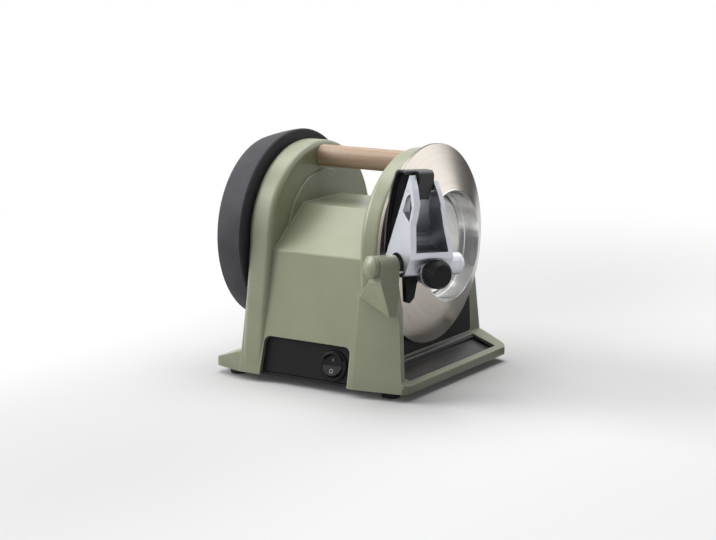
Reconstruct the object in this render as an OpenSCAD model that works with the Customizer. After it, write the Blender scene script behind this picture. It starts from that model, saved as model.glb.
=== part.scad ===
// Electric knife sharpener: a cast housing with two arched slabs carries one spindle.
// A dished diamond wheel with an adjustable knife guide is in front, a honing wheel behind.
// The working frame lies on the spindle axis at the edge of the diamond wheel: X to the right,
// Y to the back, Z up. The finished part stands on Z = 0, centred in plan.

/* [Stance] */
// Height of the spindle axis above the bench
axis_h = 103; // [99:1:112]
// Height of the rubber feet
foot_h = 6; // [4:0.5:9]
// Diameter of the rubber feet
foot_d = 15; // [12:0.5:17]
// Distance of the feet from the middle plane
foot_x = 66; // [63:0.5:68]
// Distance of the front feet behind the edge of the front frame
foot_front_inset = 19.7; // [17:0.1:22]
// Distance of the rear feet behind the back arch
foot_rear_offset = 12.7; // [10:0.1:15]

/* [Diamond wheel] */
// Outer diameter of the diamond wheel
wheel_d = 150; // [146:1:154]
// Slope of the working cone against the plane of the wheel
cone_angle = 26.15; // [24:0.05:28]
// Depth of the cone from its outer edge to the lip of the bowl
cone_depth = 16.6; // [14:0.1:18]
// Width of the cylindrical rim
rim_t = 2.2; // [1.5:0.1:3]
// Wall of the dished wheel
wheel_wall = 4.5; // [3:0.1:6]
// Radius of the clamping disc in the bowl
hub_disc_r = 37; // [33:0.5:37.5]
// Thickness of the clamping disc
hub_disc_t = 2; // [1.5:0.1:2.6]
// Depth of the clamping disc's face behind the rim's front edge
hub_disc_y = -1.6; // [-2.4:0.1:-1]
// Depth of the bright turned wall of the bowl
bowl_wall_l = 11; // [8:0.5:11.5]
// How much the bowl narrows over that wall
bowl_taper = 1.7; // [1:0.1:2]
// Radius of the thick hub web behind the bowl
hub_web_r = 45.5; // [44:0.5:46.5]
// Back of the hub web behind the rim's front edge
hub_back_y = 5.4; // [5:0.1:6]
// Clear gap between the wheel and the housing
wheel_gap = 1.2; // [1:0.1:2]

/* [Honing wheel] */
// Largest diameter of the honing wheel
hone_d = 156.8; // [150:0.2:160]
// Width of the honing wheel
hone_w = 27.5; // [24:0.5:30]
// Loss of radius from its front to its back edge
hone_taper = 7.5; // [5:0.1:9]
// Crown of its rim
hone_crown = 0.7; // [0.3:0.1:1.2]
// Gap between the back arch and the honing wheel
hone_gap = 1.9; // [1.5:0.1:3]
// Depth of the hub recesses
hone_recess = 6; // [4:0.5:8]
// Radius of the rear hub recess
hone_recess_r = 34; // [32:0.5:38]

/* [Spindle] */
// Diameter of the spindle in its bearings
spindle_d = 15; // [14:0.5:16]
// Outer diameter of the ball bearings
bearing_d = 32; // [30:1:34]
// Width of the ball bearings
bearing_w = 9; // [7:0.5:10]
// Diameter of the threaded ends
stub_d = 13; // [11:0.5:13.5]
// Diameter of the shoulder in front of the front bearing
shoulder_d = 21; // [19:0.5:23]
// Width across the flats of the hub nuts
nut_af = 22; // [20:1:24]
// Height of the hub nuts
nut_h = 7; // [6:0.5:8]
// Length of thread past the nuts
stub_past = 1.6; // [1:0.1:2.4]
// Radius of the clamping flanges of the honing wheel
flange_r = 30; // [27:0.5:31]
// Thickness of those flanges
flange_t = 3; // [2:0.1:3.5]

/* [Housing] */
// How far the arches stay inside the diamond wheel's edge
arch_inset = 4.1; // [3:0.1:6]
// Thickness of the front arch
arch_t = 17.4; // [16:0.1:20]
// Thickness of the back arch
back_arch_t = 20.7; // [18:0.1:22]
// Length of the bay between the arches
bay_l = 77.5; // [74:0.5:84]
// Edge rounding of the arches
arch_round = 4.5; // [3:0.1:6]
// Lean of the straight limbs below the arches
limb_lean = 7.17; // [6:0.1:8]
// Half width of the body at its shoulder fold
shoulder_half_w = 66; // [64:0.5:67]
// Drop of the shoulder fold below the spindle axis
shoulder_drop = 4; // [2:0.5:8]
// Half width of the flat top
roof_half_w = 29; // [25:0.5:33]
// Height of the flat top above the shoulder
roof_rise = 30.4; // [29.5:0.1:33]
// Draft of the side walls
wall_draft = 10.9; // [9.5:0.1:11.5]
// Wall thickness of the body
wall_t = 3.5; // [3:0.1:4.5]
// Thickness of the faces of the arches in front of the hollow
face_t = 8; // [7.5:0.1:9]
// Rounding of the body's folds
fold_round = 2.5; // [1:0.1:4]
// Radius of the shallow round boss on the back arch
back_boss_r = 48.5; // [44:0.5:52]
// Height of that boss
back_boss_t = 1.2; // [0.8:0.1:2]

/* [Base] */
// Length of the front frame ahead of the front arch
toe_l = 27.4; // [26:0.1:30]
// Height of the frame's thin outer edges
toe_h = 6; // [5:0.5:8]
// Rise of the frame up to the arches
toe_rise = 10; // [9:0.5:11]
// Length of the rear foot behind the back arch
heel_l = 28.5; // [26:0.1:30]
// Turn of the rear foot's sides
heel_turn = 16; // [12:1:20]
// Corner rounding of the base
base_round = 8; // [6:0.5:10]
// Half width of the tray opening
tray_half_w = 65; // [62:0.5:66]
// Width of the frame's front rail
rail_w = 4.5; // [3.5:0.1:6]
// Depth of the tray pocket, square to the sloping top
pocket_depth = 4.6; // [4:0.1:5]
// Floor thickness of the tray
tray_floor_t = 1.4; // [1:0.1:1.6]
// How far the tray's rim lies below the frame
tray_drop = 1.2; // [0.8:0.1:1.6]
// Wall of the tray
tray_wall = 1.6; // [1.2:0.1:2.2]
// Thickness of the black splash panel
splash_t = 2; // [1.5:0.1:2.5]
// Width of the metal strip along the tray's rear edge
strip_w = 2.6; // [2:0.1:3.4]

/* [Front post] */
// Turn of the post's outer face towards the front
post_turn = 9.7; // [8:0.1:11]
// Distance of the crease behind the wheel's edge
post_crease_y = 18; // [16:0.5:20]
// Thickness of the post
post_t = 7; // [6:0.1:8]
// Length of the post's outer face at its foot
post_foot_l = 39; // [37:0.5:41]
// Length of the post's outer face at its top
post_top_l = 32; // [30:0.5:34]
// Height of the post's flat outer face, along its slope
post_face_h = 63; // [60:0.5:65]

/* [Guide pivot] */
// Distance of the pivot axis in front of the cone
pivot_depth = 20; // [19.6:0.1:22]
// Distance along the pivot from the boss datum to the wheel's edge
pivot_to_rim = 18.7; // [17:0.1:20]
// Height of the sharpening line above the pivot axis
contact_h = 6.8; // [5:0.1:8]
// Angle of the sharpening line around the wheel
contact_angle = 3.5; // [2:0.1:5]
// Radius of the pivot boss
boss_r = 8.2; // [7.8:0.1:8.6]
// Length of the boss left of its datum
boss_tip = 5; // [4:0.1:6]
// Half angle of the domed cap
cap_half_angle = 40; // [35:1:50]
// Right end of the boss from its datum
boss_end = 18; // [17:0.1:18.5]
// Left face of the block below the boss from the datum
block_start = 2.8; // [2:0.1:4]
// Depth of the block below the pivot axis
block_h = 12; // [10:0.5:14]
// Depth of the block's front corner below the pivot axis
corbel_h = 35.3; // [32:0.5:37]
// Width of that corner
corbel_w = 6.5; // [5:0.5:8]
// Diameter of the pivot shaft
pivot_d = 10; // [9:0.5:11]
// Diameter of the silver collar on the pivot shaft
collar_d = 13; // [12:0.5:14]
// Thickness of the black friction washer
friction_t = 1.4; // [1:0.1:1.8]

/* [Knife guide] */
// Left face of the guide from the boss datum
guide_start = 20.5; // [20:0.1:21]
// Thickness of the left wall
guide_wall = 5; // [4:0.1:5.5]
// Height of the guide's tip above the pivot axis
guide_h = 66; // [62:0.5:68]
// Lean of the blade face
blade_lean = 24.1; // [22:0.1:25]
// Foot of the blade face behind the pivot axis
blade_foot_u = 15; // [14:0.1:15.4]
// Height of that foot above the pivot axis
blade_foot_h = 5.7; // [5:0.1:7]
// Width of the guide at its foot
guide_foot_w = 36.5; // [34:0.5:38]
// Width of the guide at its tip
guide_tip_w = 21.6; // [20:0.2:23]
// Thickness of the web behind the pocket
web_t = 2.2; // [1.8:0.1:2.6]
// Thickness of the right wall
right_wall = 3.6; // [3:0.1:4.5]
// Top of the web below the guide's tip
web_drop = 4.5; // [4.4:0.1:6]
// Radius of the arc cut round the pivot
arc_cut_r = 9.6; // [9.2:0.1:10]
// Right end of the barrel from the datum
barrel_end = 70; // [67:0.5:72]
// Length of the barrel's end cap
cap_l = 4.6; // [3.5:0.1:6]
// Width of the index pointer
pointer_w = 1.2; // [0.8:0.1:1.6]

/* [Knife jaw] */
// Slot width at its foot
slot_foot_w = 0.8; // [0.6:0.05:1.2]
// Slot width at its top
slot_top_w = 3.4; // [2.5:0.1:4]
// Lower end of the jaw above the pivot axis
jaw_foot_h = 8; // [7:0.1:9]
// Top of the jaw above the pivot axis
jaw_top_h = 67; // [66:0.1:68]
// Left face of the jaw from the datum
jaw_start = 19.2; // [19:0.1:19.6]
// Right face of the jaw from the datum
jaw_end = 45; // [42:0.5:46]
// Thickness of the jaw's bridge
bridge_t = 5; // [4:0.1:5.6]
// Left face of the front leg from the datum
leg_start = 30.3; // [29:0.1:31]
// Right face of the front leg from the datum
leg_end = 38.4; // [37:0.1:39]
// Thickness of the front leg
leg_t = 3.2; // [2.8:0.1:3.4]
// Lower end of the front leg above the pivot axis
leg_foot_h = 48; // [45:0.5:50]
// Gap between the front leg and the web, which holds the leaf spring
spring_gap = 0.7; // [0.6:0.05:0.9]
// Thickness of the leaf spring
spring_t = 0.3; // [0.2:0.05:0.35]
// Height of the jaw pin above the pivot axis
jaw_pin_h = 54; // [53:0.5:55]
// Diameter of the jaw pin
jaw_pin_d = 1.8; // [1.5:0.1:2]

/* [Clamping knob] */
// Diameter of the knob
knob_d = 20.6; // [19:0.1:22]
// Distance of the knob's axis from the boss datum
knob_s = 42.4; // [41:0.1:44]
// Height of the knob's axis against the pivot axis
knob_h = -4.3; // [-5:0.1:-3]
// Front face of the knob in front of the pivot axis
knob_front = 26; // [25:0.1:28]
// Length of the knob
knob_l = 10.5; // [9:0.1:11]
// Diameter of the knob's front face
knob_face_d = 15.2; // [13:0.1:17]
// Height of the knob's bevel
knob_bevel = 3.4; // [2.5:0.1:4.5]
// Number of grip flutes
flutes = 28; // [18:1:32]
// Diameter of the knob screw
knob_screw_d = 5; // [4:0.5:6]
// Diameter of the bright flange behind the knob
knob_flange_d = 22.4; // [21:0.1:23]

/* [Side panel and switch] */
// Height of the side opening
bay_h = 30; // [28:0.5:32]
// Distance of the opening from each arch
bay_inset = 2; // [1.5:0.1:4]
// Corner radius of the opening
bay_round = 5; // [3:0.5:7]
// Thickness of the black side panel
panel_t = 2.2; // [1.6:0.1:2.6]
// Distance of the switch behind the front arch
switch_y = 16.8; // [16:0.1:20]
// Height of the switch above the base
switch_h = 14.8; // [13.5:0.1:15.5]
// Outer diameter of the switch bezel
bezel_d = 23.4; // [22.4:0.1:24.4]
// Diameter of the rocker's opening
rocker_hole_d = 17.4; // [16:0.1:18]
// Height of the bezel above the panel
bezel_t = 1.8; // [1.4:0.1:2.4]
// Tilt of the rocker to either side
rocker_tilt = 9; // [6:0.5:10]
// Length of the switch body behind the panel
switch_l = 16; // [13:0.5:17]

/* [Drive] */
// Diameter of the motor can
motor_d = 60; // [56:1:62]
// Length of the motor can
motor_l = 31; // [28:0.5:32]
// Drop of the motor axis below the spindle axis
motor_drop = 55; // [54:0.5:57]
// Thickness of the motor's end shields
shield_t = 2; // [1.5:0.1:2.5]
// Diameter of the motor shaft
rotor_d = 6; // [5:0.5:7]
// Working diameter of the spindle pulley
big_pulley_d = 40; // [38:0.5:40.5]
// Working diameter of the motor pulley
small_pulley_d = 12.8; // [11.5:0.1:13.5]
// Width of the belt
belt_w = 9; // [7:0.5:10]
// Thickness of the belt
belt_t = 1.6; // [1.2:0.1:1.8]
// Thickness of the pulley flanges
pulley_flange_t = 1.4; // [1:0.1:1.8]
// Height of the pulley flanges
pulley_flange_h = 1.2; // [0.8:0.1:1.4]
// Thickness of the bottom plate
plate_t = 2; // [1.5:0.1:2.5]

/* [Handle and inlet] */
// Diameter of the wooden handle
handle_d = 16.8; // [15:0.2:19]
// Height of the handle above the spindle axis
handle_z = 59.5; // [58:0.1:60]
// Diameter of the handle screws
handle_screw_d = 5; // [4:0.5:6]
// Diameter of the cable inlet's bore
inlet_d = 6.4; // [5.5:0.1:7]
// Distance of the inlet in front of the back arch
inlet_inset = 12; // [10:0.5:14]

/* [Hidden] */
$fn = 96;

// General allowances
cut = 1;                // overrun of a cut past a face
seat = 0.1;             // gap between pieces that seat in each other
fit = 0.05;             // radial gap of a shaft in a bore
running = 0.3;          // gap between curved faces that turn past each other
space = 400;            // reach of a block that trims everything past a plane
relief = 0.2;           // how far a form stays inside the surface that it grows from
arc_steps = 5;
sage = "#8f937a";

// Planes across the sharpener
base_z = foot_h - axis_h;
wheel_r = wheel_d / 2;
arch_r = wheel_r - arch_inset;
front_y = rim_t + wheel_gap;
bay_y = front_y + arch_t;
back_y = bay_y + bay_l;
rear_y = back_y + back_arch_t;
hone_y = rear_y + hone_gap;
hone_back_y = hone_y + hone_w;
lip_r = wheel_r - cone_depth / tan(cone_angle);
shoulder_z = -shoulder_drop;
roof_z = shoulder_z + roof_rise;
base_half_w = shoulder_half_w + (shoulder_z - base_z) * tan(wall_draft);
toe_y = front_y - toe_l;
heel_y = rear_y + heel_l;
toe_z = base_z + toe_h;
toe_top_z = toe_z + toe_rise;
toe_slope = atan(toe_rise / toe_l);
wall_normal_t = wall_t * cos(wall_draft);
plate_top_z = base_z + plate_t;

// Ends of the spindle
front_stub_y = hub_disc_y - nut_h - stub_past;
rear_flange_y = hone_back_y - hone_recess;
rear_stub_y = rear_flange_y + flange_t + nut_h + stub_past;

// Extent of the whole sharpener, which sets its origin
cap_r = boss_r / sin(cap_half_angle);
cap_centre_s = cap_r - boss_tip;
cap_turned_x = (cap_centre_s - pivot_to_rim) * cos(cone_angle) - pivot_depth * sin(cone_angle) - wheel_r;
cap_x = cap_turned_x * cos(contact_angle) - contact_h * sin(contact_angle);
min_x = cap_x - cap_r;
min_y = -(knob_s - pivot_to_rim) * sin(cone_angle) - (knob_front + pivot_depth) * cos(cone_angle)
    - knob_face_d / 2 * sin(cone_angle);
origin_x = (min_x + base_half_w) / 2;
origin_y = (min_y + rear_stub_y) / 2;

// Moves a piece from the working frame to the bench, centred in plan
module place() { translate([-origin_x, -origin_y, axis_h]) children(); }

// Frame of the guide: X along the pivot, Y towards the wheel's cone, Z up
module guide_frame() {
    rotate([0, contact_angle, 0]) translate([-wheel_r, 0, 0]) rotate([0, 0, -cone_angle])
        translate([-pivot_to_rim, -pivot_depth, -contact_h]) children();
}

// Frame on a side wall: X up the wall, Y to the back, Z out of the wall
module wall_frame(side = -1) {
    mirror([side > 0 ? 1 : 0, 0, 0])
        translate([-base_half_w, 0, base_z]) rotate([0, wall_draft - 90, 0]) children();
}

// Turns Z to the back, for pieces on the spindle and for outlines seen from the back
module to_back() { rotate([-90, 0, 0]) children(); }

// Rounded outline: an arc of radius r[i] (or r) at every corner
function unit(v) = v / norm(v);
function corner_arc(a, b, c, r) = r == 0 ? [b] : let(
    p = unit(a - b), q = unit(c - b),
    half = acos(p * q) / 2,
    centre = b + unit(p + q) * r / sin(half),
    start = b + p * r / tan(half) - centre,
    end = b + q * r / tan(half) - centre,
    from = atan2(start.y, start.x),
    turn = atan2(start.x * end.y - start.y * end.x, start * end)
) [for (i = [0:arc_steps]) centre + r * [cos(from + turn * i / arc_steps), sin(from + turn * i / arc_steps)]];
function rounded(points, r) = let(n = len(points)) [for (i = [0:n - 1])
    each corner_arc(points[(i + n - 1) % n], points[i], points[(i + 1) % n], is_list(r) ? r[i] : r)];

// Housing

module body_outline(inset = 0) {
    half = base_half_w - inset * (1 - tan(wall_draft));
    knee = shoulder_half_w - inset * (1 - tan(wall_draft) / 2);
    top = roof_half_w - inset / 2;
    polygon(rounded([[-half, base_z - inset], [-knee, shoulder_z - inset / 2], [-top, roof_z - inset],
        [top, roof_z - inset], [knee, shoulder_z - inset / 2], [half, base_z - inset]],
        [0, fold_round, fold_round, fold_round, fold_round, 0]));
}

// One arch: a disc with rounded edges on two limbs that run down to the base
module limb(t, lean, length) {
    reach = arch_r - relief;
    rotate([0, -lean, 0]) translate([0, 0, -length]) linear_extrude(length)
        polygon(rounded([[0, relief], [reach, relief], [reach, t - relief], [0, t - relief]],
            [0, arch_round, arch_round, 0]));
}

module arch(t, left_lean, left_length) {
    length = (arch_r - base_z) / cos(limb_lean);
    to_back() rotate_extrude()
        polygon(rounded([[0, 0], [arch_r, 0], [arch_r, t], [0, t]], [0, arch_round, arch_round, 0]));
    limb(t, limb_lean, length);
    mirror([1, 0, 0]) limb(t, left_lean, left_length);
}

// Outline of the whole base in plan
base_front_half_w = base_half_w - (post_crease_y - toe_y) * tan(post_turn);
base_rear_half_w = base_half_w - heel_l * tan(heel_turn);
module base_outline() {
    polygon(rounded([[-base_half_w, post_crease_y], [-base_front_half_w, toe_y], [base_front_half_w, toe_y],
        [base_half_w, post_crease_y], [base_half_w, rear_y], [base_rear_half_w, heel_y],
        [-base_rear_half_w, heel_y], [-base_half_w, rear_y]],
        [0, base_round, base_round, 0, 0, base_round, base_round, 0]));
}

// Side view of the base: thin at the toe and the heel, rising to the arches
module base_wedges() {
    rotate([90, 0, 90]) translate([0, 0, -base_half_w - cut]) linear_extrude(2 * (base_half_w + cut))
        polygon(rounded([[toe_y - cut, base_z], [toe_y - cut, toe_z], [toe_y, toe_z], [front_y, toe_top_z],
            [bay_y, toe_top_z], [back_y, toe_top_z], [rear_y, toe_top_z], [heel_y, toe_z],
            [heel_y + cut, toe_z], [heel_y + cut, base_z]],
            [0, 0, fold_round, fold_round, 0, 0, fold_round, fold_round, 0, 0]));
}

// The base's sides follow the draft of the side walls
module base_casting() {
    intersection() {
        translate([0, 0, base_z]) linear_extrude(toe_h + toe_rise) base_outline();
        base_wedges();
        translate([0, toe_y - cut, 0]) rotate([90, 0, 0]) mirror([0, 0, 1])
            linear_extrude(heel_y - toe_y + 2 * cut)
                polygon([[relief - base_half_w, base_z], [relief - shoulder_half_w, shoulder_z],
                    [shoulder_half_w - relief, shoulder_z], [base_half_w - relief, base_z]]);
    }
}

// Frame of the post's outer face: X into the post, Y to the back, Z up its slope
module post_frame() {
    translate([-base_half_w, post_crease_y, base_z]) rotate([0, wall_draft, post_turn]) children();
}

module post() {
    post_frame() translate([-relief, 0, 0]) rotate([90, 0, 90]) linear_extrude(post_t + relief)
        polygon([[0, -toe_h], [-post_foot_l, -toe_h], [-post_foot_l, 0], [-post_top_l, post_face_h],
            [-post_top_l / 2, post_face_h + corbel_w / 2], [0, post_face_h + corbel_w]]);
}

// Everything outside the post's outer face, up to the line where the corbel flares out
module post_trim() {
    reach = space / 4;
    slope = corbel_w / post_top_l;
    top = post_face_h + corbel_w + relief;
    post_frame() translate([-reach, 0, 0]) rotate([90, 0, 90]) linear_extrude(reach)
        polygon([[cut, -reach], [cut, top + cut * slope], [-reach, top - reach * slope], [-reach, -reach]]);
}

// Corbel that flares out from the post and carries the pivot boss
module corbel() {
    half = boss_r - seat;
    end = boss_end - relief;
    s0 = block_start + relief;
    s1 = end - relief;
    u = half - relief;
    top = cut - block_h;
    hull() {
        // wedge from the block's underside down to the front corner
        guide_frame() polyhedron(
            [[s0, -u, top], [s1, -u, top], [s1, u, top], [s0, u, top], [s1 - corbel_w, -u, -corbel_h], [s1, -u, -corbel_h]],
            [[3, 2, 1, 0], [0, 1, 5, 4], [1, 2, 5], [2, 3, 4, 5], [3, 0, 4]]);
        post_frame() translate([relief, -post_top_l, post_face_h]) rotate([atan(corbel_w / post_top_l), 0, 0])
            translate([0, relief, -relief - cut]) cube([post_t - 2 * relief, post_top_l - 2 * relief, cut]);
    }
    guide_frame() translate([block_start, -half, -block_h]) cube([end - block_start, 2 * half, block_h]);
}

// Domed boss for the pivot shaft, with a shadow groove behind its cap
groove_w = boss_r / 10;
module pivot_boss() {
    rim_s = cap_centre_s - cap_r * cos(cap_half_angle);
    guide_frame() {
        intersection() {
            translate([cap_centre_s, 0, 0]) sphere(cap_r);
            rotate([0, 90, 0]) translate([0, 0, -boss_tip - cut]) cylinder(r = boss_r, h = rim_s + boss_tip + 2 * cut);
        }
        rotate([0, 90, 0]) translate([0, 0, rim_s]) cylinder(r = boss_r, h = block_start - 2 * groove_w - rim_s);
        rotate([0, 90, 0]) cylinder(r = boss_r - groove_w, h = boss_end);
        rotate([0, 90, 0]) translate([0, 0, block_start - groove_w])
            cylinder(r = boss_r, h = boss_end - block_start + groove_w);
    }
}

// Clear space round the diamond wheel
module wheel_clearance() {
    to_back() translate([0, 0, -wheel_gap]) cylinder(r = wheel_r + wheel_gap, h = front_y + wheel_gap);
    to_back() translate([0, 0, -cone_depth - wheel_gap])
        cylinder(r1 = lip_r + wheel_gap, r2 = wheel_r + wheel_gap, h = cone_depth);
}

pocket_z_drop = pocket_depth / cos(toe_slope);
module tray_pocket() {
    rotate([90, 0, 90]) translate([0, 0, -tray_half_w]) linear_extrude(2 * tray_half_w)
        polygon([[toe_y + rail_w, toe_z + rail_w * tan(toe_slope) - pocket_z_drop],
            [front_y, toe_top_z - pocket_z_drop], [front_y, toe_top_z + cut],
            [toe_y + rail_w, toe_top_z + cut]]);
}

// Hollow below the thick end of the front frame
core_half_w = foot_x - foot_d;
core_l = toe_l / 2;
module frame_core() {
    rotate([90, 0, 90]) translate([0, 0, -core_half_w]) linear_extrude(2 * core_half_w)
        polygon([[front_y - core_l, base_z - cut], [front_y + face_t + cut, base_z - cut],
            [front_y + face_t + cut, base_z + plate_t], [front_y, toe_top_z - pocket_z_drop - plate_t],
            [front_y - core_l, toe_top_z - pocket_z_drop - plate_t - core_l * tan(toe_slope)]]);
}

module heel_core() {
    translate([-core_half_w, rear_y - face_t - cut, base_z - cut])
        cube([2 * core_half_w, core_l + face_t + cut, plate_t + toe_h - wall_t + cut]);
}

// Splash panel outline, seen from the front, with its arc round the wheel's hub
hub_pocket_r = hub_web_r + 2 * wheel_gap;
splash_top_z = -arch_r * 0.42;
splash_foot_z = toe_top_z + fold_round / 2;
module splash_outline(gap = 0) {
    right = tray_half_w - foot_d / 5;
    difference() {
        polygon(rounded([[-right + boss_r + gap, splash_top_z - gap], [right - gap, splash_top_z - gap],
            [right + foot_d / 4 - gap, splash_foot_z + gap], [-right + gap, splash_foot_z + gap]], fold_round));
        circle(r = hub_pocket_r + 2 * cut + gap);
    }
}

// Opening in the left wall, on the wall's own frame
bay_lo_y = bay_y + bay_inset;
module bay_opening() {
    translate([0, 0, -wall_t - cut]) linear_extrude(wall_t + 3 * cut)
        polygon(rounded([[-toe_h, bay_lo_y], [bay_h, bay_lo_y], [bay_h, back_y - bay_inset + fold_round],
            [-toe_h, back_y + fold_round]], [0, bay_round, bay_round, 0]));
}

screw_head_r = handle_screw_d;
module handle_screw_cuts() {
    translate([0, front_y - cut, handle_z]) to_back() {
        cylinder(d = handle_screw_d + 2 * seat, h = arch_t + 2 * cut);
        cylinder(r = screw_head_r + seat, h = handle_screw_d + cut);
    }
    translate([0, rear_y + cut, handle_z]) rotate([90, 0, 0]) {
        cylinder(d = handle_screw_d + 2 * seat, h = back_arch_t + 2 * cut);
        cylinder(r = screw_head_r + seat, h = handle_screw_d + cut);
    }
}

inlet_y = back_y - inlet_inset;
inlet_h = switch_h;
inlet_r = inlet_d / 2;
grommet_r = inlet_r + wall_t / 2;

foot_places = [for (x = [-foot_x, foot_x], y = [toe_y + foot_front_inset, rear_y + foot_rear_offset]) [x, y]];
foot_screw_d = foot_d / 4;
bearing_boss_r = bearing_d / 2 + face_t;
shoulder_hole_r = shoulder_d / 2 + 2 * cut;

module housing() color(sage) place() difference() {
    union() {
        difference() {
            union() {
                translate([0, front_y, 0]) rotate([90, 0, 0]) mirror([0, 0, 1])
                    linear_extrude(rear_y - front_y) body_outline();
                translate([0, front_y, 0]) arch(arch_t, 0, -shoulder_z + arch_r / 2);
                translate([0, back_y, 0])
                    arch(back_arch_t, limb_lean, (arch_r - base_z) / cos(limb_lean));
                translate([0, back_y - back_boss_t, 0]) to_back() cylinder(r = back_boss_r, h = back_arch_t);
                base_casting();
                post();
            }
            post_trim();
        }
        corbel();
        pivot_boss();
    }
    // hollow of the body, with the bearing bosses left standing
    difference() {
        translate([0, front_y + face_t, 0]) rotate([90, 0, 0]) mirror([0, 0, 1])
            linear_extrude(rear_y - front_y - 2 * face_t) body_outline(wall_t);
        translate([0, front_y, 0]) to_back() cylinder(r = bearing_boss_r, h = arch_t);
        translate([0, back_y, 0]) to_back() cylinder(r = bearing_boss_r, h = back_arch_t);
    }
    // spindle and bearing bores
    translate([0, bay_y - bearing_w, 0]) to_back() cylinder(d = bearing_d + 2 * seat, h = bearing_w + cut);
    translate([0, back_y - back_boss_t - cut, 0]) to_back()
        cylinder(d = bearing_d + 2 * seat, h = bearing_w + back_boss_t + cut);
    translate([0, front_y - cut, 0]) to_back() cylinder(r = shoulder_hole_r, h = rear_y - front_y + 2 * cut);
    translate([0, -cut, 0]) to_back() cylinder(r = hub_pocket_r, h = hub_back_y + 2 * cut + cut);
    wheel_clearance();
    tray_pocket();
    frame_core();
    heel_core();
    // recess for the splash panel
    translate([0, front_y + splash_t + seat, 0]) rotate([90, 0, 0])
        linear_extrude(splash_t + seat + cut) splash_outline();
    wall_frame() bay_opening();
    wall_frame(1) translate([inlet_h, inlet_y, -wall_t - cut]) cylinder(r = grommet_r + seat, h = wall_t + 2 * cut);
    handle_screw_cuts();
    // blind bore for the pivot shaft
    guide_frame() rotate([0, 90, 0]) translate([0, 0, block_start]) cylinder(d = pivot_d + 2 * fit, h = boss_end);
    for (p = foot_places) translate([p.x, p.y, base_z - cut]) cylinder(d = foot_screw_d + 2 * seat, h = toe_h - wall_t / 2);
    translate([-space / 2, -space / 2, base_z - space]) cube(space);
}

// Panels, tray and feet

panel_foot = plate_t + (wall_t + panel_t) * tan(wall_draft) + 2 * seat;
module side_panel() color("#17181a") place() wall_frame() difference() {
    translate([0, 0, -wall_normal_t - seat - panel_t]) linear_extrude(panel_t)
        polygon(rounded([[panel_foot, bay_lo_y - bay_round], [bay_h + bay_round, bay_lo_y - bay_round],
            [bay_h + bay_round, back_y + bay_round], [panel_foot, back_y + bay_round]], [0, bay_round, bay_round, 0]));
    translate([switch_h, bay_y + switch_y, -wall_t - panel_t - 2 * cut])
        cylinder(d = rocker_hole_d + 2 * wall_t / 2, h = wall_t + panel_t + 2 * cut);
}

module splash_panel() color("#1c1d1f") place()
    translate([0, front_y + splash_t, 0]) rotate([90, 0, 0]) linear_extrude(splash_t) splash_outline(seat);

// The tray follows the slope of the frame and stops at the metal strip
tray_back_y = front_y - strip_w - 2 * seat;
function slope_z(y) = toe_z + (y - toe_y) * tan(toe_slope);
module tray_section(y0, y1, low, high) {
    polygon([[y0, slope_z(y0) - low], [y1, slope_z(y1) - low], [y1, slope_z(y1) - high], [y0, slope_z(y0) - high]]);
}
module swarf_tray() color("#202123") place() {
    y0 = toe_y + rail_w + 2 * seat;
    half = tray_half_w - 2 * seat;
    low = pocket_z_drop - seat;
    rotate([90, 0, 90]) difference() {
        translate([0, 0, -half]) linear_extrude(2 * half) tray_section(y0, tray_back_y, low, tray_drop);
        translate([0, 0, tray_wall - half]) linear_extrude(2 * (half - tray_wall))
            tray_section(y0 + tray_wall, tray_back_y - tray_wall, low - tray_floor_t, -cut);
    }
}

module magnetic_strip() color("#6d6e70") place()
    rotate([90, 0, 90]) translate([0, 0, 2 * seat - tray_half_w]) linear_extrude(2 * (tray_half_w - 2 * seat))
        tray_section(front_y - strip_w - seat, front_y - seat, pocket_z_drop - seat, seat);

module feet() color("#151515") place() for (p = foot_places) translate([p.x, p.y, -axis_h]) difference() {
    cylinder(d1 = foot_d * 0.9, d2 = foot_d, h = foot_h);
    translate([0, 0, -cut]) cylinder(d = foot_screw_d + 2 * seat, h = foot_h + 2 * cut);
    translate([0, 0, -cut]) cylinder(d = 2 * foot_screw_d + 2 * seat, h = foot_h / 2 + cut);
}

module foot_screws() color("#9a9a9a") place() for (p = foot_places) translate([p.x, p.y, -axis_h]) {
    translate([0, 0, foot_h / 2 - foot_screw_d / 2]) cylinder(d = 2 * foot_screw_d, h = foot_screw_d / 2);
    translate([0, 0, foot_h / 2 - seat]) cylinder(d = foot_screw_d, h = foot_h / 2 + toe_h / 2 - wall_t / 2);
}

module handle() color("#d2b48c") place() translate([0, bay_y, handle_z]) to_back() difference() {
    cylinder(d = handle_d, h = back_y - bay_y);
    translate([0, 0, -cut]) cylinder(d = handle_screw_d + 2 * fit, h = arch_t + cut);
    translate([0, 0, back_y - bay_y - arch_t]) cylinder(d = handle_screw_d + 2 * fit, h = arch_t + cut);
}

module one_handle_screw(reach) {
    cylinder(r = screw_head_r, h = handle_screw_d / 2);
    cylinder(d = handle_screw_d, h = reach);
}
module handle_screws() color("#8c8c8c") place() {
    translate([0, front_y + handle_screw_d / 2, handle_z]) to_back() one_handle_screw(2 * arch_t - 2 * handle_screw_d);
    translate([0, rear_y - handle_screw_d / 2, handle_z]) rotate([90, 0, 0])
        one_handle_screw(arch_t + back_arch_t - 2 * handle_screw_d);
}

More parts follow.
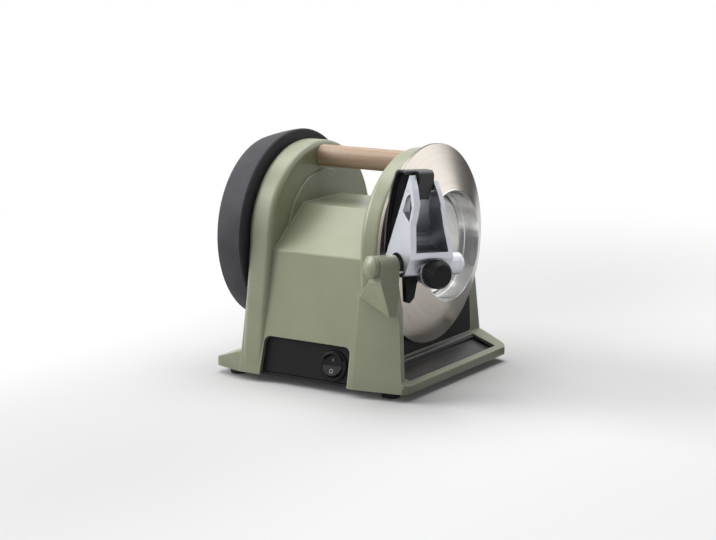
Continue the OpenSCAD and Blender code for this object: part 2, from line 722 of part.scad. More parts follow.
plate_half_w = base_half_w - wall_t - plate_t * tan(wall_draft) - 2 * seat;
plate_y0 = front_y + face_t + 2 * seat;
plate_y1 = rear_y - face_t - 2 * seat;
plate_screw_x = plate_half_w - foot_d / 2;
plate_screw_d = foot_screw_d;
post_h = motor_d / 10;
board_w = 34;
board_l = 56;
board_t = 1.6;
board_x = motor_d / 2 + board_w / 2 + foot_h;
board_y = bay_y + board_l / 2 + foot_h / 2;
function board_posts() = [for (x = [-1, 1], y = [-1, 1])
    [board_x + x * (board_w - post_h) / 2, board_y + y * (board_l - post_h) / 2]];
plate_screw_places = [for (x = [-plate_screw_x, plate_screw_x], y = [bay_y, back_y]) [x, y]];

module bottom_plate() color("#2a2b2d") place() {
    translate([0, 0, base_z]) difference() {
        union() {
            linear_extrude(plate_t) polygon([[-plate_half_w, plate_y0], [plate_half_w, plate_y0],
                [plate_half_w, plate_y1], [-plate_half_w, plate_y1]]);
            for (p = board_posts()) translate([p.x, p.y, 0]) cylinder(d = post_h, h = plate_t + post_h);
        }
        for (p = plate_screw_places) translate([p.x, p.y, -cut]) cylinder(d = plate_screw_d + 2 * seat, h = plate_t + 2 * cut);
    }
}

module plate_screws() color("#9a9a9a") place() for (p = plate_screw_places) translate([p.x, p.y, base_z]) {
    translate([0, 0, plate_t]) cylinder(d = 2 * plate_screw_d, h = plate_screw_d / 2);
    translate([0, 0, seat]) cylinder(d = plate_screw_d, h = plate_t);
}

module inlet_grommet() color("#161616") place() wall_frame(1) translate([inlet_h, inlet_y, 0]) difference() {
    union() {
        translate([0, 0, seat]) cylinder(r1 = grommet_r + wall_t / 2, r2 = grommet_r, h = wall_t / 2);
        translate([0, 0, -wall_t]) cylinder(r = grommet_r, h = wall_t + wall_t / 2);
        translate([0, 0, -wall_t - panel_t]) cylinder(r = grommet_r + wall_t / 2, h = panel_t);
    }
    translate([0, 0, -wall_t - panel_t - cut]) cylinder(d = inlet_d, h = 2 * wall_t + panel_t + 2 * cut);
}

// Switch, on the frame of the left wall

panel_face = -wall_normal_t - seat;
rocker_r = rocker_hole_d / 2 - running;
rocker_pin_d = 1.4;
rocker_pin_l = rocker_hole_d + rocker_pin_d;
module switch_frame() { wall_frame() translate([switch_h, bay_y + switch_y, panel_face]) children(); }

// Pins that carry the rocker in the bezel's bore
module rocker_axis(l) { rotate([90, 0, 0]) translate([0, 0, -l / 2]) children(); }

module switch_bezel() color("#121212") place() switch_frame() difference() {
    union() {
        rotate_extrude() polygon([[rocker_hole_d / 2, 0], [bezel_d / 2, 0], [bezel_d / 2, bezel_t / 2],
            [bezel_d / 2 - bezel_t / 2, bezel_t], [rocker_hole_d / 2, bezel_t]]);
        translate([0, 0, -panel_t]) cylinder(d = rocker_hole_d + wall_t - 2 * seat, h = panel_t + bezel_t / 2);
        // raised rim round the upper part of the rocker
        rotate([0, 0, -60]) rotate_extrude(angle = 120) polygon([[rocker_hole_d / 2, 0], [bezel_d / 2 - bezel_t / 2, 0],
            [bezel_d / 2 - bezel_t, 2 * bezel_t], [rocker_hole_d / 2, 2 * bezel_t]]);
    }
    translate([0, 0, -panel_t - cut]) cylinder(d = rocker_hole_d, h = panel_t + 3 * bezel_t);
    rocker_axis(rocker_pin_l + 2 * seat) cylinder(d = rocker_pin_d + 2 * fit, h = rocker_pin_l + 2 * seat);
}

module switch_rocker() color("#1b1b1b") place() switch_frame() rotate([0, rocker_tilt, 0]) {
    half = rocker_r + cut;
    intersection() {
        sphere(rocker_r);
        rotate([90, 0, 0]) translate([0, 0, -half]) linear_extrude(2 * half)
            polygon([[-half, bezel_t + half * tan(rocker_tilt)], [-half, -bezel_t],
                [half, -bezel_t], [half, bezel_t + half * tan(rocker_tilt)], [0, bezel_t]]);
    }
    rocker_axis(rocker_pin_l) cylinder(d = rocker_pin_d, h = rocker_pin_l);
}

switch_top = -bezel_t - rocker_r * sin(rocker_tilt) - running;
module switch_body() color("#262626") place() switch_frame() {
    translate([0, 0, -switch_l]) cylinder(d = rocker_hole_d - 2 * seat, h = switch_l + switch_top);
    for (y = [-1, 1]) translate([0, y * rocker_hole_d / 4, -switch_l - foot_h])
        linear_extrude(foot_h + cut) square([foot_h, plate_t / 2], center = true);
}

// Drive

motor_y = bay_y + shield_t + bay_inset / 2;
motor_end_y = motor_y + motor_l;
pulley_y = motor_end_y + shield_t + bay_inset + post_h / 2;
pulley_w = belt_w + 2 * (pulley_flange_t + seat * 2);

module motor_axis() { translate([0, 0, -motor_drop]) to_back() children(); }

module motor_can() color("#7c7d80") place() motor_axis() translate([0, 0, motor_y]) difference() {
    cylinder(d = motor_d, h = motor_l);
    translate([0, 0, -cut]) cylinder(d = rotor_d + 2 * running, h = motor_l + 2 * cut);
    for (a = [0:30:330]) rotate([0, 0, a]) translate([motor_d / 2 + shield_t / 2, 0, shield_t])
        cylinder(d = 2 * shield_t, h = motor_l - 2 * shield_t);
}

module motor_shields() color("#a2a3a6") place() motor_axis() for (end = [0, 1])
    translate([0, 0, end ? motor_end_y : motor_y - shield_t]) difference() {
        cylinder(d = motor_d, h = shield_t);
        translate([0, 0, -cut]) cylinder(d = rotor_d + 2 * fit, h = shield_t + 2 * cut);
        for (a = [45:90:315]) rotate([0, 0, a]) translate([motor_d / 3, 0, -cut]) cylinder(d = motor_d / 8, h = shield_t + 2 * cut);
    }

cradle_half_w = motor_d * 0.4;
cradle_inset = shield_t + post_h / 2;
module motor_cradle() color("#55575a") place() difference() {
    translate([0, motor_y + cradle_inset, 0]) rotate([90, 0, 0]) mirror([0, 0, 1])
        linear_extrude(motor_l - 2 * cradle_inset)
            polygon([[-cradle_half_w, plate_top_z], [-cradle_half_w * 1.1, -motor_drop], [-motor_d / 2, -motor_drop],
                [motor_d / 2, -motor_drop], [cradle_half_w * 1.1, -motor_drop], [cradle_half_w, plate_top_z]]);
    motor_axis() translate([0, 0, motor_y]) cylinder(d = motor_d + 2 * seat, h = motor_l);
    // hollow below the saddle
    translate([0, motor_y, 0]) rotate([90, 0, 0]) mirror([0, 0, 1]) linear_extrude(motor_l)
        polygon([[-cradle_half_w + 2 * shield_t, plate_top_z - cut], [-cradle_half_w / 2, plate_top_z + post_h],
            [cradle_half_w / 2, plate_top_z + post_h], [cradle_half_w - 2 * shield_t, plate_top_z - cut]]);
}

module rotor_shaft() color("#c9cacc") place() motor_axis() translate([0, 0, motor_y - 2 * shield_t])
    cylinder(d = rotor_d, h = pulley_y + pulley_w + shield_t - motor_y + 2 * shield_t);

module pulley(d, bore) {
    rotate_extrude() polygon([[bore / 2, 0], [d / 2 + pulley_flange_h, 0], [d / 2 + pulley_flange_h, pulley_flange_t],
        [d / 2, pulley_flange_t], [d / 2, pulley_w - pulley_flange_t],
        [d / 2 + pulley_flange_h, pulley_w - pulley_flange_t], [d / 2 + pulley_flange_h, pulley_w], [bore / 2, pulley_w]]);
}

module motor_pulley() color("#b9babd") place() motor_axis() translate([0, 0, pulley_y])
    pulley(small_pulley_d, rotor_d + 2 * fit);

module spindle_pulley() color("#b9babd") place() translate([0, pulley_y, 0]) to_back()
    pulley(big_pulley_d, spindle_d + 2 * fit);

// Belt seen along the spindle: two arcs and their common tangents
module belt_loop(big, small) {
    lean = asin((big - small) / motor_drop);
    circle(r = big);
    translate([0, motor_drop]) circle(r = small);
    polygon([big * [cos(lean), sin(lean)], small * [cos(lean), sin(lean)] + [0, motor_drop],
        small * [-cos(lean), sin(lean)] + [0, motor_drop], big * [-cos(lean), sin(lean)]]);
}

module drive_belt() color("#1a1a1a") place() translate([0, pulley_y + pulley_flange_t + 2 * seat, 0]) to_back()
    linear_extrude(belt_w) difference() {
        belt_loop(big_pulley_d / 2 + running + belt_t, small_pulley_d / 2 + running + belt_t);
        belt_loop(big_pulley_d / 2 + running, small_pulley_d / 2 + running);
    }

module control_board() color("#2f5d3a") place() translate([board_x, board_y, plate_top_z + post_h + seat]) {
    translate([-board_w / 2, -board_l / 2, 0]) cube([board_w, board_l, board_t]);
    for (x = [-1, 1]) translate([x * board_w / 5, board_l / 8, board_t]) cylinder(d = board_w / 4, h = board_w / 3);
    translate([-board_w / 4, -board_l / 3, board_t]) cube([board_w / 2, board_l / 6, board_w / 3]);
}

capacitor_d = motor_d / 2;
capacitor_l = capacitor_d - 2 * shield_t;
capacitor_y = pulley_y + pulley_w + post_h;
module run_capacitor() color("#d9d9d4") place()
    translate([0, capacitor_y, plate_top_z + capacitor_d / 2 + seat]) to_back() {
        cylinder(d = capacitor_d, h = capacitor_l);
        translate([0, 0, capacitor_l]) cylinder(d = capacitor_d / 3, h = shield_t);
    }

// Spindle and wheels

front_bearing_y = bay_y - bearing_w;
spacer_y = back_y + bearing_w + seat;
inner_flange_y = hone_y + seat;
inner_flange_end_y = inner_flange_y + flange_t;

module spindle() color("#c4c6c9") place() to_back() rotate_extrude() polygon([
    [0, front_stub_y], [stub_d / 2 - seat, front_stub_y], [stub_d / 2, front_stub_y + stub_past],
    [stub_d / 2, hub_back_y + seat], [shoulder_d / 2, hub_back_y + seat],
    [shoulder_d / 2, front_bearing_y - seat], [spindle_d / 2, front_bearing_y - seat],
    [spindle_d / 2, inner_flange_end_y - seat], [stub_d / 2, inner_flange_end_y - seat],
    [stub_d / 2, rear_stub_y - stub_past], [stub_d / 2 - seat, rear_stub_y], [0, rear_stub_y]]);

module bearing() {
    race = (bearing_d - spindle_d) / 8;
    difference() {
        cylinder(d = bearing_d, h = bearing_w);
        translate([0, 0, -cut]) cylinder(d = spindle_d + 2 * fit, h = bearing_w + 2 * cut);
        for (z = [-cut, bearing_w - race / 2]) translate([0, 0, z]) difference() {
            cylinder(d = bearing_d - 2 * race, h = race / 2 + cut);
            translate([0, 0, -cut]) cylinder(d = spindle_d + 2 * race, h = race + 3 * cut);
        }
    }
}
module front_bearing() color("#b4b6ba") place() translate([0, front_bearing_y, 0]) to_back() bearing();
module back_bearing() color("#b4b6ba") place() translate([0, back_y, 0]) to_back() bearing();

// The wheel's inner cone lies one wall behind the working cone
web_front_y = hub_disc_y + hub_disc_t;
function back_cone_r(y) = wheel_r - wheel_wall * sin(cone_angle) - (wheel_wall * cos(cone_angle) - y) / tan(cone_angle);
bowl_foot_y = -cone_depth + bowl_wall_l;
bowl_foot_r = lip_r - bowl_taper;
dish_y = (web_front_y - cone_depth) / 2;
module diamond_wheel() color("#b8b5b0") place() to_back() rotate_extrude() polygon([
    [stub_d / 2 + fit, web_front_y], [hub_disc_r + seat * 3, web_front_y],
    [bowl_foot_r - bowl_taper / 2, bowl_foot_y + seat], [bowl_foot_r, bowl_foot_y], [lip_r, -cone_depth],
    [lip_r + bowl_taper / 2, -cone_depth + bowl_taper / 4], [wheel_r, 0], [wheel_r, rim_t], [back_cone_r(rim_t), rim_t],
    [back_cone_r(dish_y), dish_y], [hub_web_r, dish_y + bowl_taper], [hub_web_r, hub_back_y],
    [stub_d / 2 + fit, hub_back_y]]);

module hub_disc() color("#d7d5d1") place() to_back() rotate_extrude() polygon([
    [stub_d / 2 + fit, web_front_y], [hub_disc_r, web_front_y], [hub_disc_r, hub_disc_y + seat * 3],
    [hub_disc_r - seat * 3, hub_disc_y], [stub_d / 2 + fit, hub_disc_y]]);

module hex_nut(h) {
    difference() {
        intersection() {
            cylinder(d = nut_af / cos(30), h = h, $fn = 6);
            cylinder(d1 = nut_af * 1.2, d2 = nut_af * 1.04, h = h);
        }
        translate([0, 0, -cut]) cylinder(d = stub_d + 2 * fit, h = h + 2 * cut);
    }
}
module hub_nut() color("#9b9da0") place() translate([0, hub_disc_y, 0]) rotate([90, 0, 0]) hex_nut(nut_h);

module honing_spacer() color("#aeb0b3") place() to_back() rotate_extrude() polygon([
    [spindle_d / 2 + fit, spacer_y], [shoulder_d / 2, spacer_y], [shoulder_d / 2, inner_flange_y],
    [flange_r - flange_t, inner_flange_y], [flange_r - flange_t, inner_flange_end_y],
    [spindle_d / 2 + fit, inner_flange_end_y]]);

// Crowned, tapered rim as a row of points between its two edges
hone_r = hone_d / 2;
rim_steps = 8;
edge_share = 0.04;
function rim_r(share) = hone_r - hone_taper * share + 4 * hone_crown * share * (1 - share);
module honing_wheel() color("#3d3f44") place() to_back() rotate_extrude() polygon(concat(
    [[stub_d / 2 + fit, inner_flange_end_y + seat], [flange_r, inner_flange_end_y + seat], [flange_r, hone_y],
        [rim_r(0) - hone_w * edge_share, hone_y]],
    [for (i = [0:rim_steps]) let(share = edge_share + (1 - 2 * edge_share) * i / rim_steps)
        [rim_r(share), hone_y + hone_w * share]],
    [[rim_r(1) - hone_w * edge_share, hone_back_y], [hone_recess_r, hone_back_y], [hone_recess_r, rear_flange_y],
        [stub_d / 2 + fit, rear_flange_y]]));

module honing_flange() color("#a9abae") place() translate([0, rear_flange_y, 0]) to_back() difference() {
    cylinder(r = flange_r, h = flange_t);
    translate([0, 0, -cut]) cylinder(d = stub_d + 2 * fit, h = flange_t + 2 * cut);
}
module honing_nut() color("#9b9da0") place() translate([0, rear_flange_y + flange_t, 0]) to_back() hex_nut(nut_h);

// Knife guide, in the guide frame

module along_pivot(start) { guide_frame() rotate([0, 90, 0]) translate([0, 0, start]) children(); }

// Outlines seen along the pivot: X towards the wheel, Y up
module side_outline(start, length) {
    guide_frame() translate([start, 0, 0]) rotate([90, 0, 90]) linear_extrude(length) children();
}
// Outlines seen from the user: X along the pivot, Y up
module front_outline(near, depth) {
    guide_frame() translate([0, near + depth, 0]) rotate([90, 0, 0]) linear_extrude(depth) children();
}

function blade_u(h) = blade_foot_u - (h - blade_foot_h) * tan(blade_lean);
web_u = web_t / cos(blade_lean);
tip_u = blade_u(guide_h);

// Front edge of the walls, as shares of the foot's depth and of the guide's height
wall_edge_shares = [[1.14, 0.1], [1.14, 0.21], [1.05, 0.45], [1.2, 0.56], [1.33, 0.69], [1.12, 0.85]];
wall_edge = [for (p = wall_edge_shares) [-p[0] * blade_foot_u, p[1] * guide_h]];

module guide_side() {
    polygon(rounded(concat([[tip_u - slot_foot_w, guide_h]], [[blade_u(blade_foot_h), blade_foot_h]],
        [[boss_r * 0.8, -boss_r * 0.2], [-boss_r * 1.2, -boss_r * 0.9]], wall_edge),
        [slot_foot_w / 2, slot_foot_w, 0, boss_r / 2, boss_r / 2, boss_r / 2, boss_r / 2, boss_r / 2, boss_r / 2, boss_r / 2]));
}

// Right edge of the guide seen from the user, as shares of its foot width over its tip and of its height
guide_edge_shares = [[1, 0.12], [0.66, 0.45], [0.32, 0.64], [0.22, 0.77], [0.1, 0.885], [0, 1.02]];
function guide_edge(inset) = [for (p = guide_edge_shares)
    [guide_start + guide_tip_w + p[0] * (guide_foot_w - guide_tip_w) - inset, p[1] * guide_h]];

module guide_front() {
    polygon(concat([[guide_start, guide_h * 1.02], [guide_start, -boss_r * 1.2],
        [guide_start + guide_foot_w, -boss_r * 1.2]], guide_edge(0)));
}

// Pocket between the walls, in front of the web, with a round floor
pocket_foot_h = boss_r * 1.35;
module pocket_side() {
    far = -3 * blade_foot_u;
    polygon(rounded([[blade_u(guide_h + cut * 4) - web_u, guide_h + cut * 4], [blade_u(pocket_foot_h) - web_u, pocket_foot_h],
        [far, pocket_foot_h], [far, guide_h + cut * 4]], [0, boss_r, 0, 0]));
}
module pocket_front() {
    inner = guide_edge(right_wall);
    polygon(concat([[guide_start + guide_wall, guide_h * 1.1], [guide_start + guide_wall, 0],
        [inner[0].x, 0]], inner, [[inner[5].x, guide_h * 1.1]]));
}

// Window in the left wall, as shares of the foot's depth and of the guide's height
window_shares = [[-0.95, 0.8], [-0.66, 0.76], [-0.36, 0.6], [-0.93, 0.49], [-1.12, 0.65]];
window_points = [for (p = window_shares) [p[0] * blade_foot_u, p[1] * guide_h]];

knob_base = knob_front - knob_l;
knob_flange_t = 1.6;
knob_socket_share = 0.8;
module knob_axis() { guide_frame() translate([knob_s, 0, knob_h]) rotate([90, 0, 0]) children(); }

jaw_pin_u = blade_u(jaw_pin_h) - web_u - spring_gap - leg_t / 2;

module guide_casting() color("#c9cbd0") place() difference() {
    union() {
        // two walls and the web, cut from one leaning wedge
        difference() {
            intersection() {
                side_outline(guide_start, guide_foot_w) guide_side();
                front_outline(-4 * blade_foot_u, 6 * blade_foot_u) guide_front();
            }
            intersection() {
                side_outline(guide_start + guide_wall, guide_foot_w) pocket_side();
                front_outline(-4 * blade_foot_u, 6 * blade_foot_u) pocket_front();
            }
            // the web ends below the jaw's bridge
            front_outline(-2 * blade_foot_u, 3 * blade_foot_u)
                translate([guide_start + guide_wall, guide_h - web_drop]) square([guide_tip_w, 2 * web_drop]);
        }
        // barrel
        along_pivot(guide_start + guide_wall) cylinder(r = boss_r, h = barrel_end - guide_start - guide_wall);
        // socket of the clamping knob, with its bright flange
        knob_axis() cylinder(d = knob_flange_d * knob_socket_share, h = knob_base - knob_flange_t / 2);
        knob_axis() translate([0, 0, knob_base - knob_flange_t - seat]) cylinder(d = knob_flange_d, h = knob_flange_t);
    }
    // arc cut round the pivot at the left end
    along_pivot(guide_start - cut) cylinder(r = arc_cut_r, h = guide_wall + cut);
    // bore for the pivot shaft
    along_pivot(guide_start - cut) cylinder(d = pivot_d + 2 * fit, h = barrel_end);
    knob_axis() cylinder(d = knob_screw_d + 2 * fit, h = knob_front);
    // spot face round the knob's grip
    knob_axis() translate([0, 0, knob_base - seat]) cylinder(d = knob_flange_d, h = 2 * knob_l);
    side_outline(guide_start - cut, guide_wall + 2 * cut) polygon(rounded(window_points, slot_foot_w));
    // pin hole through both walls
    guide_frame() translate([guide_start - cut, jaw_pin_u, jaw_pin_h]) rotate([0, 90, 0])
        cylinder(d = jaw_pin_d + 2 * fit, h = guide_foot_w);
}

module pivot_shaft() color("#d4d6da") place() {
    along_pivot(block_start + seat) cylinder(d = pivot_d, h = barrel_end - boss_r - block_start);
    along_pivot(boss_end + seat) cylinder(d = collar_d, h = guide_start + guide_wall - friction_t - boss_end - 3 * seat);
}

module friction_washer() color("#151515") place() along_pivot(guide_start + guide_wall - friction_t - seat) difference() {
    cylinder(r = boss_r, h = friction_t);
    translate([0, 0, -cut]) cylinder(d = pivot_d + 2 * fit, h = friction_t + 2 * cut);
}

module barrel_cap() color("#b2b4b8") place() along_pivot(barrel_end + seat) rotate_extrude()
    polygon(rounded([[0, 0], [boss_r, 0], [boss_r, cap_l], [0, cap_l]], [0, 0, cap_l * 0.7, 0]));

// Pointer that stands on the window's sloping sill
pointer_foot_share = 0.2;
pointer_h_share = 0.2;
module index_pointer() color("#141414") place() side_outline(guide_start + guide_wall / 2, pointer_w) {
    sill = window_points[2] - window_points[3];
    foot = window_points[3] + sill * pointer_foot_share + [0, 2 * seat];
    polygon([foot, foot + unit(sill) * pointer_w / cos(atan2(sill.y, sill.x)),
        [foot.x + pointer_w, foot.y + pointer_h_share * guide_h], [foot.x, foot.y + pointer_h_share * guide_h]]);
}

// Tail below the barrel that meets a stop at the end of the adjustment
tail_shares = [[0.05, 0.42], [0.35, 0.42], [0.27, 0.86], [0.17, 1], [0.1, 0.98]];
tail_l = 26.5;
tail_t = 5;
tail_reach = guide_foot_w;
module stop_tail() color("#101010") place() difference() {
    front_outline(2 * seat - tail_t, tail_t) polygon(rounded([for (p = tail_shares)
        [guide_start + guide_wall - boss_r / 4 + p[0] * tail_reach, -p[1] * tail_l + (p[1] < 0.5 ? boss_r / 2 : 0)]],
        [0, 0, tail_t / 6, tail_t / 3, tail_t / 3]));
    along_pivot(0) cylinder(r = boss_r + seat, h = barrel_end);
    along_pivot(0) cylinder(r = arc_cut_r, h = guide_start + guide_wall);
    knob_axis() translate([0, 0, -tail_t]) cylinder(d = knob_flange_d * knob_socket_share + 2 * seat, h = knob_front);
}

// Rear outline of the jaw, as shares of the slot's depth at its foot and of the jaw's height
jaw_back_shares = [[0.3, 0.95], [0.53, 0.85], [0.68, 0.74], [0.84, 0.56], [0.95, 0.42], [0.99, 0.26], [0.98, 0.14]];
jaw_back = [for (p = jaw_back_shares) [p[0] * (blade_foot_u + slot_foot_w), p[1] * jaw_top_h]];
function slot_w(h) = slot_foot_w + (slot_top_w - slot_foot_w) * (h - jaw_foot_h) / (jaw_top_h - jaw_foot_h);
jaw_under_h = jaw_top_h - bridge_t;
bridge_front_u = blade_u(jaw_under_h) + running;
module jaw_side() {
    polygon(concat([[blade_u(jaw_foot_h) + slot_w(jaw_foot_h), jaw_foot_h],
        [blade_u(jaw_under_h) + slot_w(jaw_under_h), jaw_under_h], [bridge_front_u, jaw_under_h],
        [bridge_front_u + slot_foot_w, jaw_top_h], [0, jaw_top_h]], jaw_back,
        [[blade_foot_u + slot_foot_w / 2, jaw_foot_h]]));
}
// Front leg between the walls, hooked over the web
module leg_side() {
    polygon([[bridge_front_u + 2 * slot_foot_w, jaw_top_h], [blade_u(jaw_top_h) - web_u, jaw_top_h],
        [blade_u(jaw_under_h) - web_u - leg_t, jaw_under_h],
        [blade_u(leg_foot_h) - web_u - spring_gap - leg_t, leg_foot_h],
        [blade_u(leg_foot_h) - web_u - spring_gap, leg_foot_h],
        [blade_u(jaw_under_h) - web_u - spring_gap, jaw_under_h], [bridge_front_u + 2 * slot_foot_w, jaw_under_h]]);
}
module jaw() color("#1d1e20") place() difference() {
    union() {
        side_outline(jaw_start, jaw_end - jaw_start) jaw_side();
        side_outline(leg_start, leg_end - leg_start) leg_side();
    }
    guide_frame() translate([jaw_start - cut, jaw_pin_u, jaw_pin_h]) rotate([0, 90, 0])
        cylinder(d = jaw_pin_d + 2 * fit, h = guide_foot_w);
}

module jaw_pin() color("#b0b2b6") place() guide_frame() translate([guide_start + seat, jaw_pin_u, jaw_pin_h])
    rotate([0, 90, 0]) cylinder(d = jaw_pin_d, h = guide_tip_w);

// Leaf spring on the front of the web, behind the front leg
module jaw_spring() color("#8f9196") place()
    side_outline(leg_start + leg_t / 2, leg_end - leg_start - leg_t) {
        low = leg_foot_h + running;
        high = jaw_pin_h;
        front = web_u + seat;
        polygon([[blade_u(low) - front, low], [blade_u(high) - front, high],
            [blade_u(high) - front - spring_t, high], [blade_u(low) - front - spring_t, low]]);
    }

// Fluted grip, four points to a flute, and a bevel turned on its front
flute_share = 0.05;
module knob() color("#161616") place() knob_axis() translate([0, 0, knob_base]) difference() {
    grip_r = knob_d / 2;
    bevel_slope = (grip_r - knob_face_d / 2) / knob_bevel;
    intersection() {
        linear_extrude(knob_l) polygon([for (i = [0:4 * flutes - 1])
            grip_r * (1 - flute_share * (1 - cos(90 * i)) / 2) * [cos(90 * i / flutes), sin(90 * i / flutes)]]);
        rotate_extrude() polygon([[0, -cut], [grip_r + cut, -cut], [grip_r + cut, knob_l - knob_bevel - cut / bevel_slope],
            [knob_face_d / 2 - cut * bevel_slope, knob_l + cut], [0, knob_l + cut]]);
    }
    translate([0, 0, -cut]) cylinder(d = knob_screw_d + 2 * fit, h = knob_l / 2 + cut);
}

module knob_screw() color("#a5a7ab") place() knob_axis() translate([0, 0, pivot_d / 2 + running])
    cylinder(d = knob_screw_d, h = knob_base + knob_l / 2 - pivot_d / 2 - running - seat);

housing();
side_panel();
splash_panel();
swarf_tray();
magnetic_strip();
feet();
foot_screws();
handle();
handle_screws();
bottom_plate();
plate_screws();
inlet_grommet();
switch_bezel();
switch_rocker();
switch_body();
motor_can();
motor_shields();
motor_cradle();
rotor_shaft();
motor_pulley();
drive_belt();
control_board();
run_capacitor();
spindle();
front_bearing();
back_bearing();
spindle_pulley();
diamond_wheel();
hub_disc();
hub_nut();
honing_spacer();
honing_wheel();
honing_flange();
honing_nut();
pivot_shaft();
friction_washer();
guide_casting();
barrel_cap();
index_pointer();
stop_tail();
jaw();
jaw_pin();
jaw_spring();
knob();
knob_screw();
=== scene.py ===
import math

import bmesh
import bpy
from mathutils import Matrix, Vector


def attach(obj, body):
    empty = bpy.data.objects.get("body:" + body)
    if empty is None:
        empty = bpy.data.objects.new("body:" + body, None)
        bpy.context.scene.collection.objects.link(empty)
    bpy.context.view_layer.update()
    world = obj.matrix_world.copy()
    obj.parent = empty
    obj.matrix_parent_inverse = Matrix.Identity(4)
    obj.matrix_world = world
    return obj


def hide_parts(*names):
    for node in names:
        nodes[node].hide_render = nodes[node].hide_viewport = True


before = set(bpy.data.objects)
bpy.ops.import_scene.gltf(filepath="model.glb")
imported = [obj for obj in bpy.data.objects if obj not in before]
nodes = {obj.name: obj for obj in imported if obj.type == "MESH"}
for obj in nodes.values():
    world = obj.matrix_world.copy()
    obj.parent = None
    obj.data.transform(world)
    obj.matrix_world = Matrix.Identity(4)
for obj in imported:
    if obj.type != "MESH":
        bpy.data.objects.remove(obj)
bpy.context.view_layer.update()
print("sharpener: frame loaded,", len(nodes), "pieces")

# Places that several pieces share, in metres and degrees
wheelMiddle = {"x": 0.011363, "y": -0.049457, "z": 0.103}     # on the spindle, in the wheel's rim plane
pivot = {"tilt": 3.5, "post": (-0.075, 0, 0), "swing": -26.15, "start": (-0.0187, -0.020, -0.0068)}
sideWall = {"foot": (-0.083909, 0, -0.097), "draft": 10.9, "switch": (0.0148, 0.0376, -0.003537)}


def turn(degrees, axis):
    return Matrix.Rotation(math.radians(degrees), 4, axis)


move = Matrix.Translation
toBench = move(tuple(wheelMiddle.values()))
postFrame = toBench @ turn(pivot["tilt"], "Y") @ move(pivot["post"])
guideFrame = postFrame @ turn(pivot["swing"], "Z") @ move(pivot["start"])     # X along the pivot, Z up
wallFrame = toBench @ move(sideWall["foot"]) @ turn(sideWall["draft"] - 90, "Y")
switchFrame = wallFrame @ move(sideWall["switch"])


def linear(red, green, blue):
    # screen colour from 0 to 255, as the shader wants it
    def one(v):
        v /= 255
        return v / 12.92 if v <= 0.04045 else ((v + 0.055) / 1.055) ** 2.4
    return (one(red), one(green), one(blue), 1.0)


def darker(colour, share):
    return tuple(part * share for part in colour[:3]) + (1,)


class Field:
    # a socket that can be added, scaled and compared like a number
    def __init__(self, recipe, socket):
        self.recipe = recipe
        self.socket = socket

    def calc(self, operation, *values):
        return self.recipe.node("Math", {"operation": operation}, dict(enumerate(values)))

    def __add__(self, other):
        return self.calc("ADD", self, other)

    def __radd__(self, other):
        return self.calc("ADD", other, self)

    def __sub__(self, other):
        return self.calc("SUBTRACT", self, other)

    def __rsub__(self, other):
        return self.calc("SUBTRACT", other, self)

    def __mul__(self, other):
        return self.calc("MULTIPLY", self, other)

    def __rmul__(self, other):
        return self.calc("MULTIPLY", other, self)

    def __pow__(self, other):
        return self.calc("POWER", self, other)

    def __rpow__(self, other):
        return self.calc("POWER", other, self)

    def __gt__(self, other):
        return self.calc("GREATER_THAN", self, other)

    def __lt__(self, other):
        return self.calc("LESS_THAN", self, other)


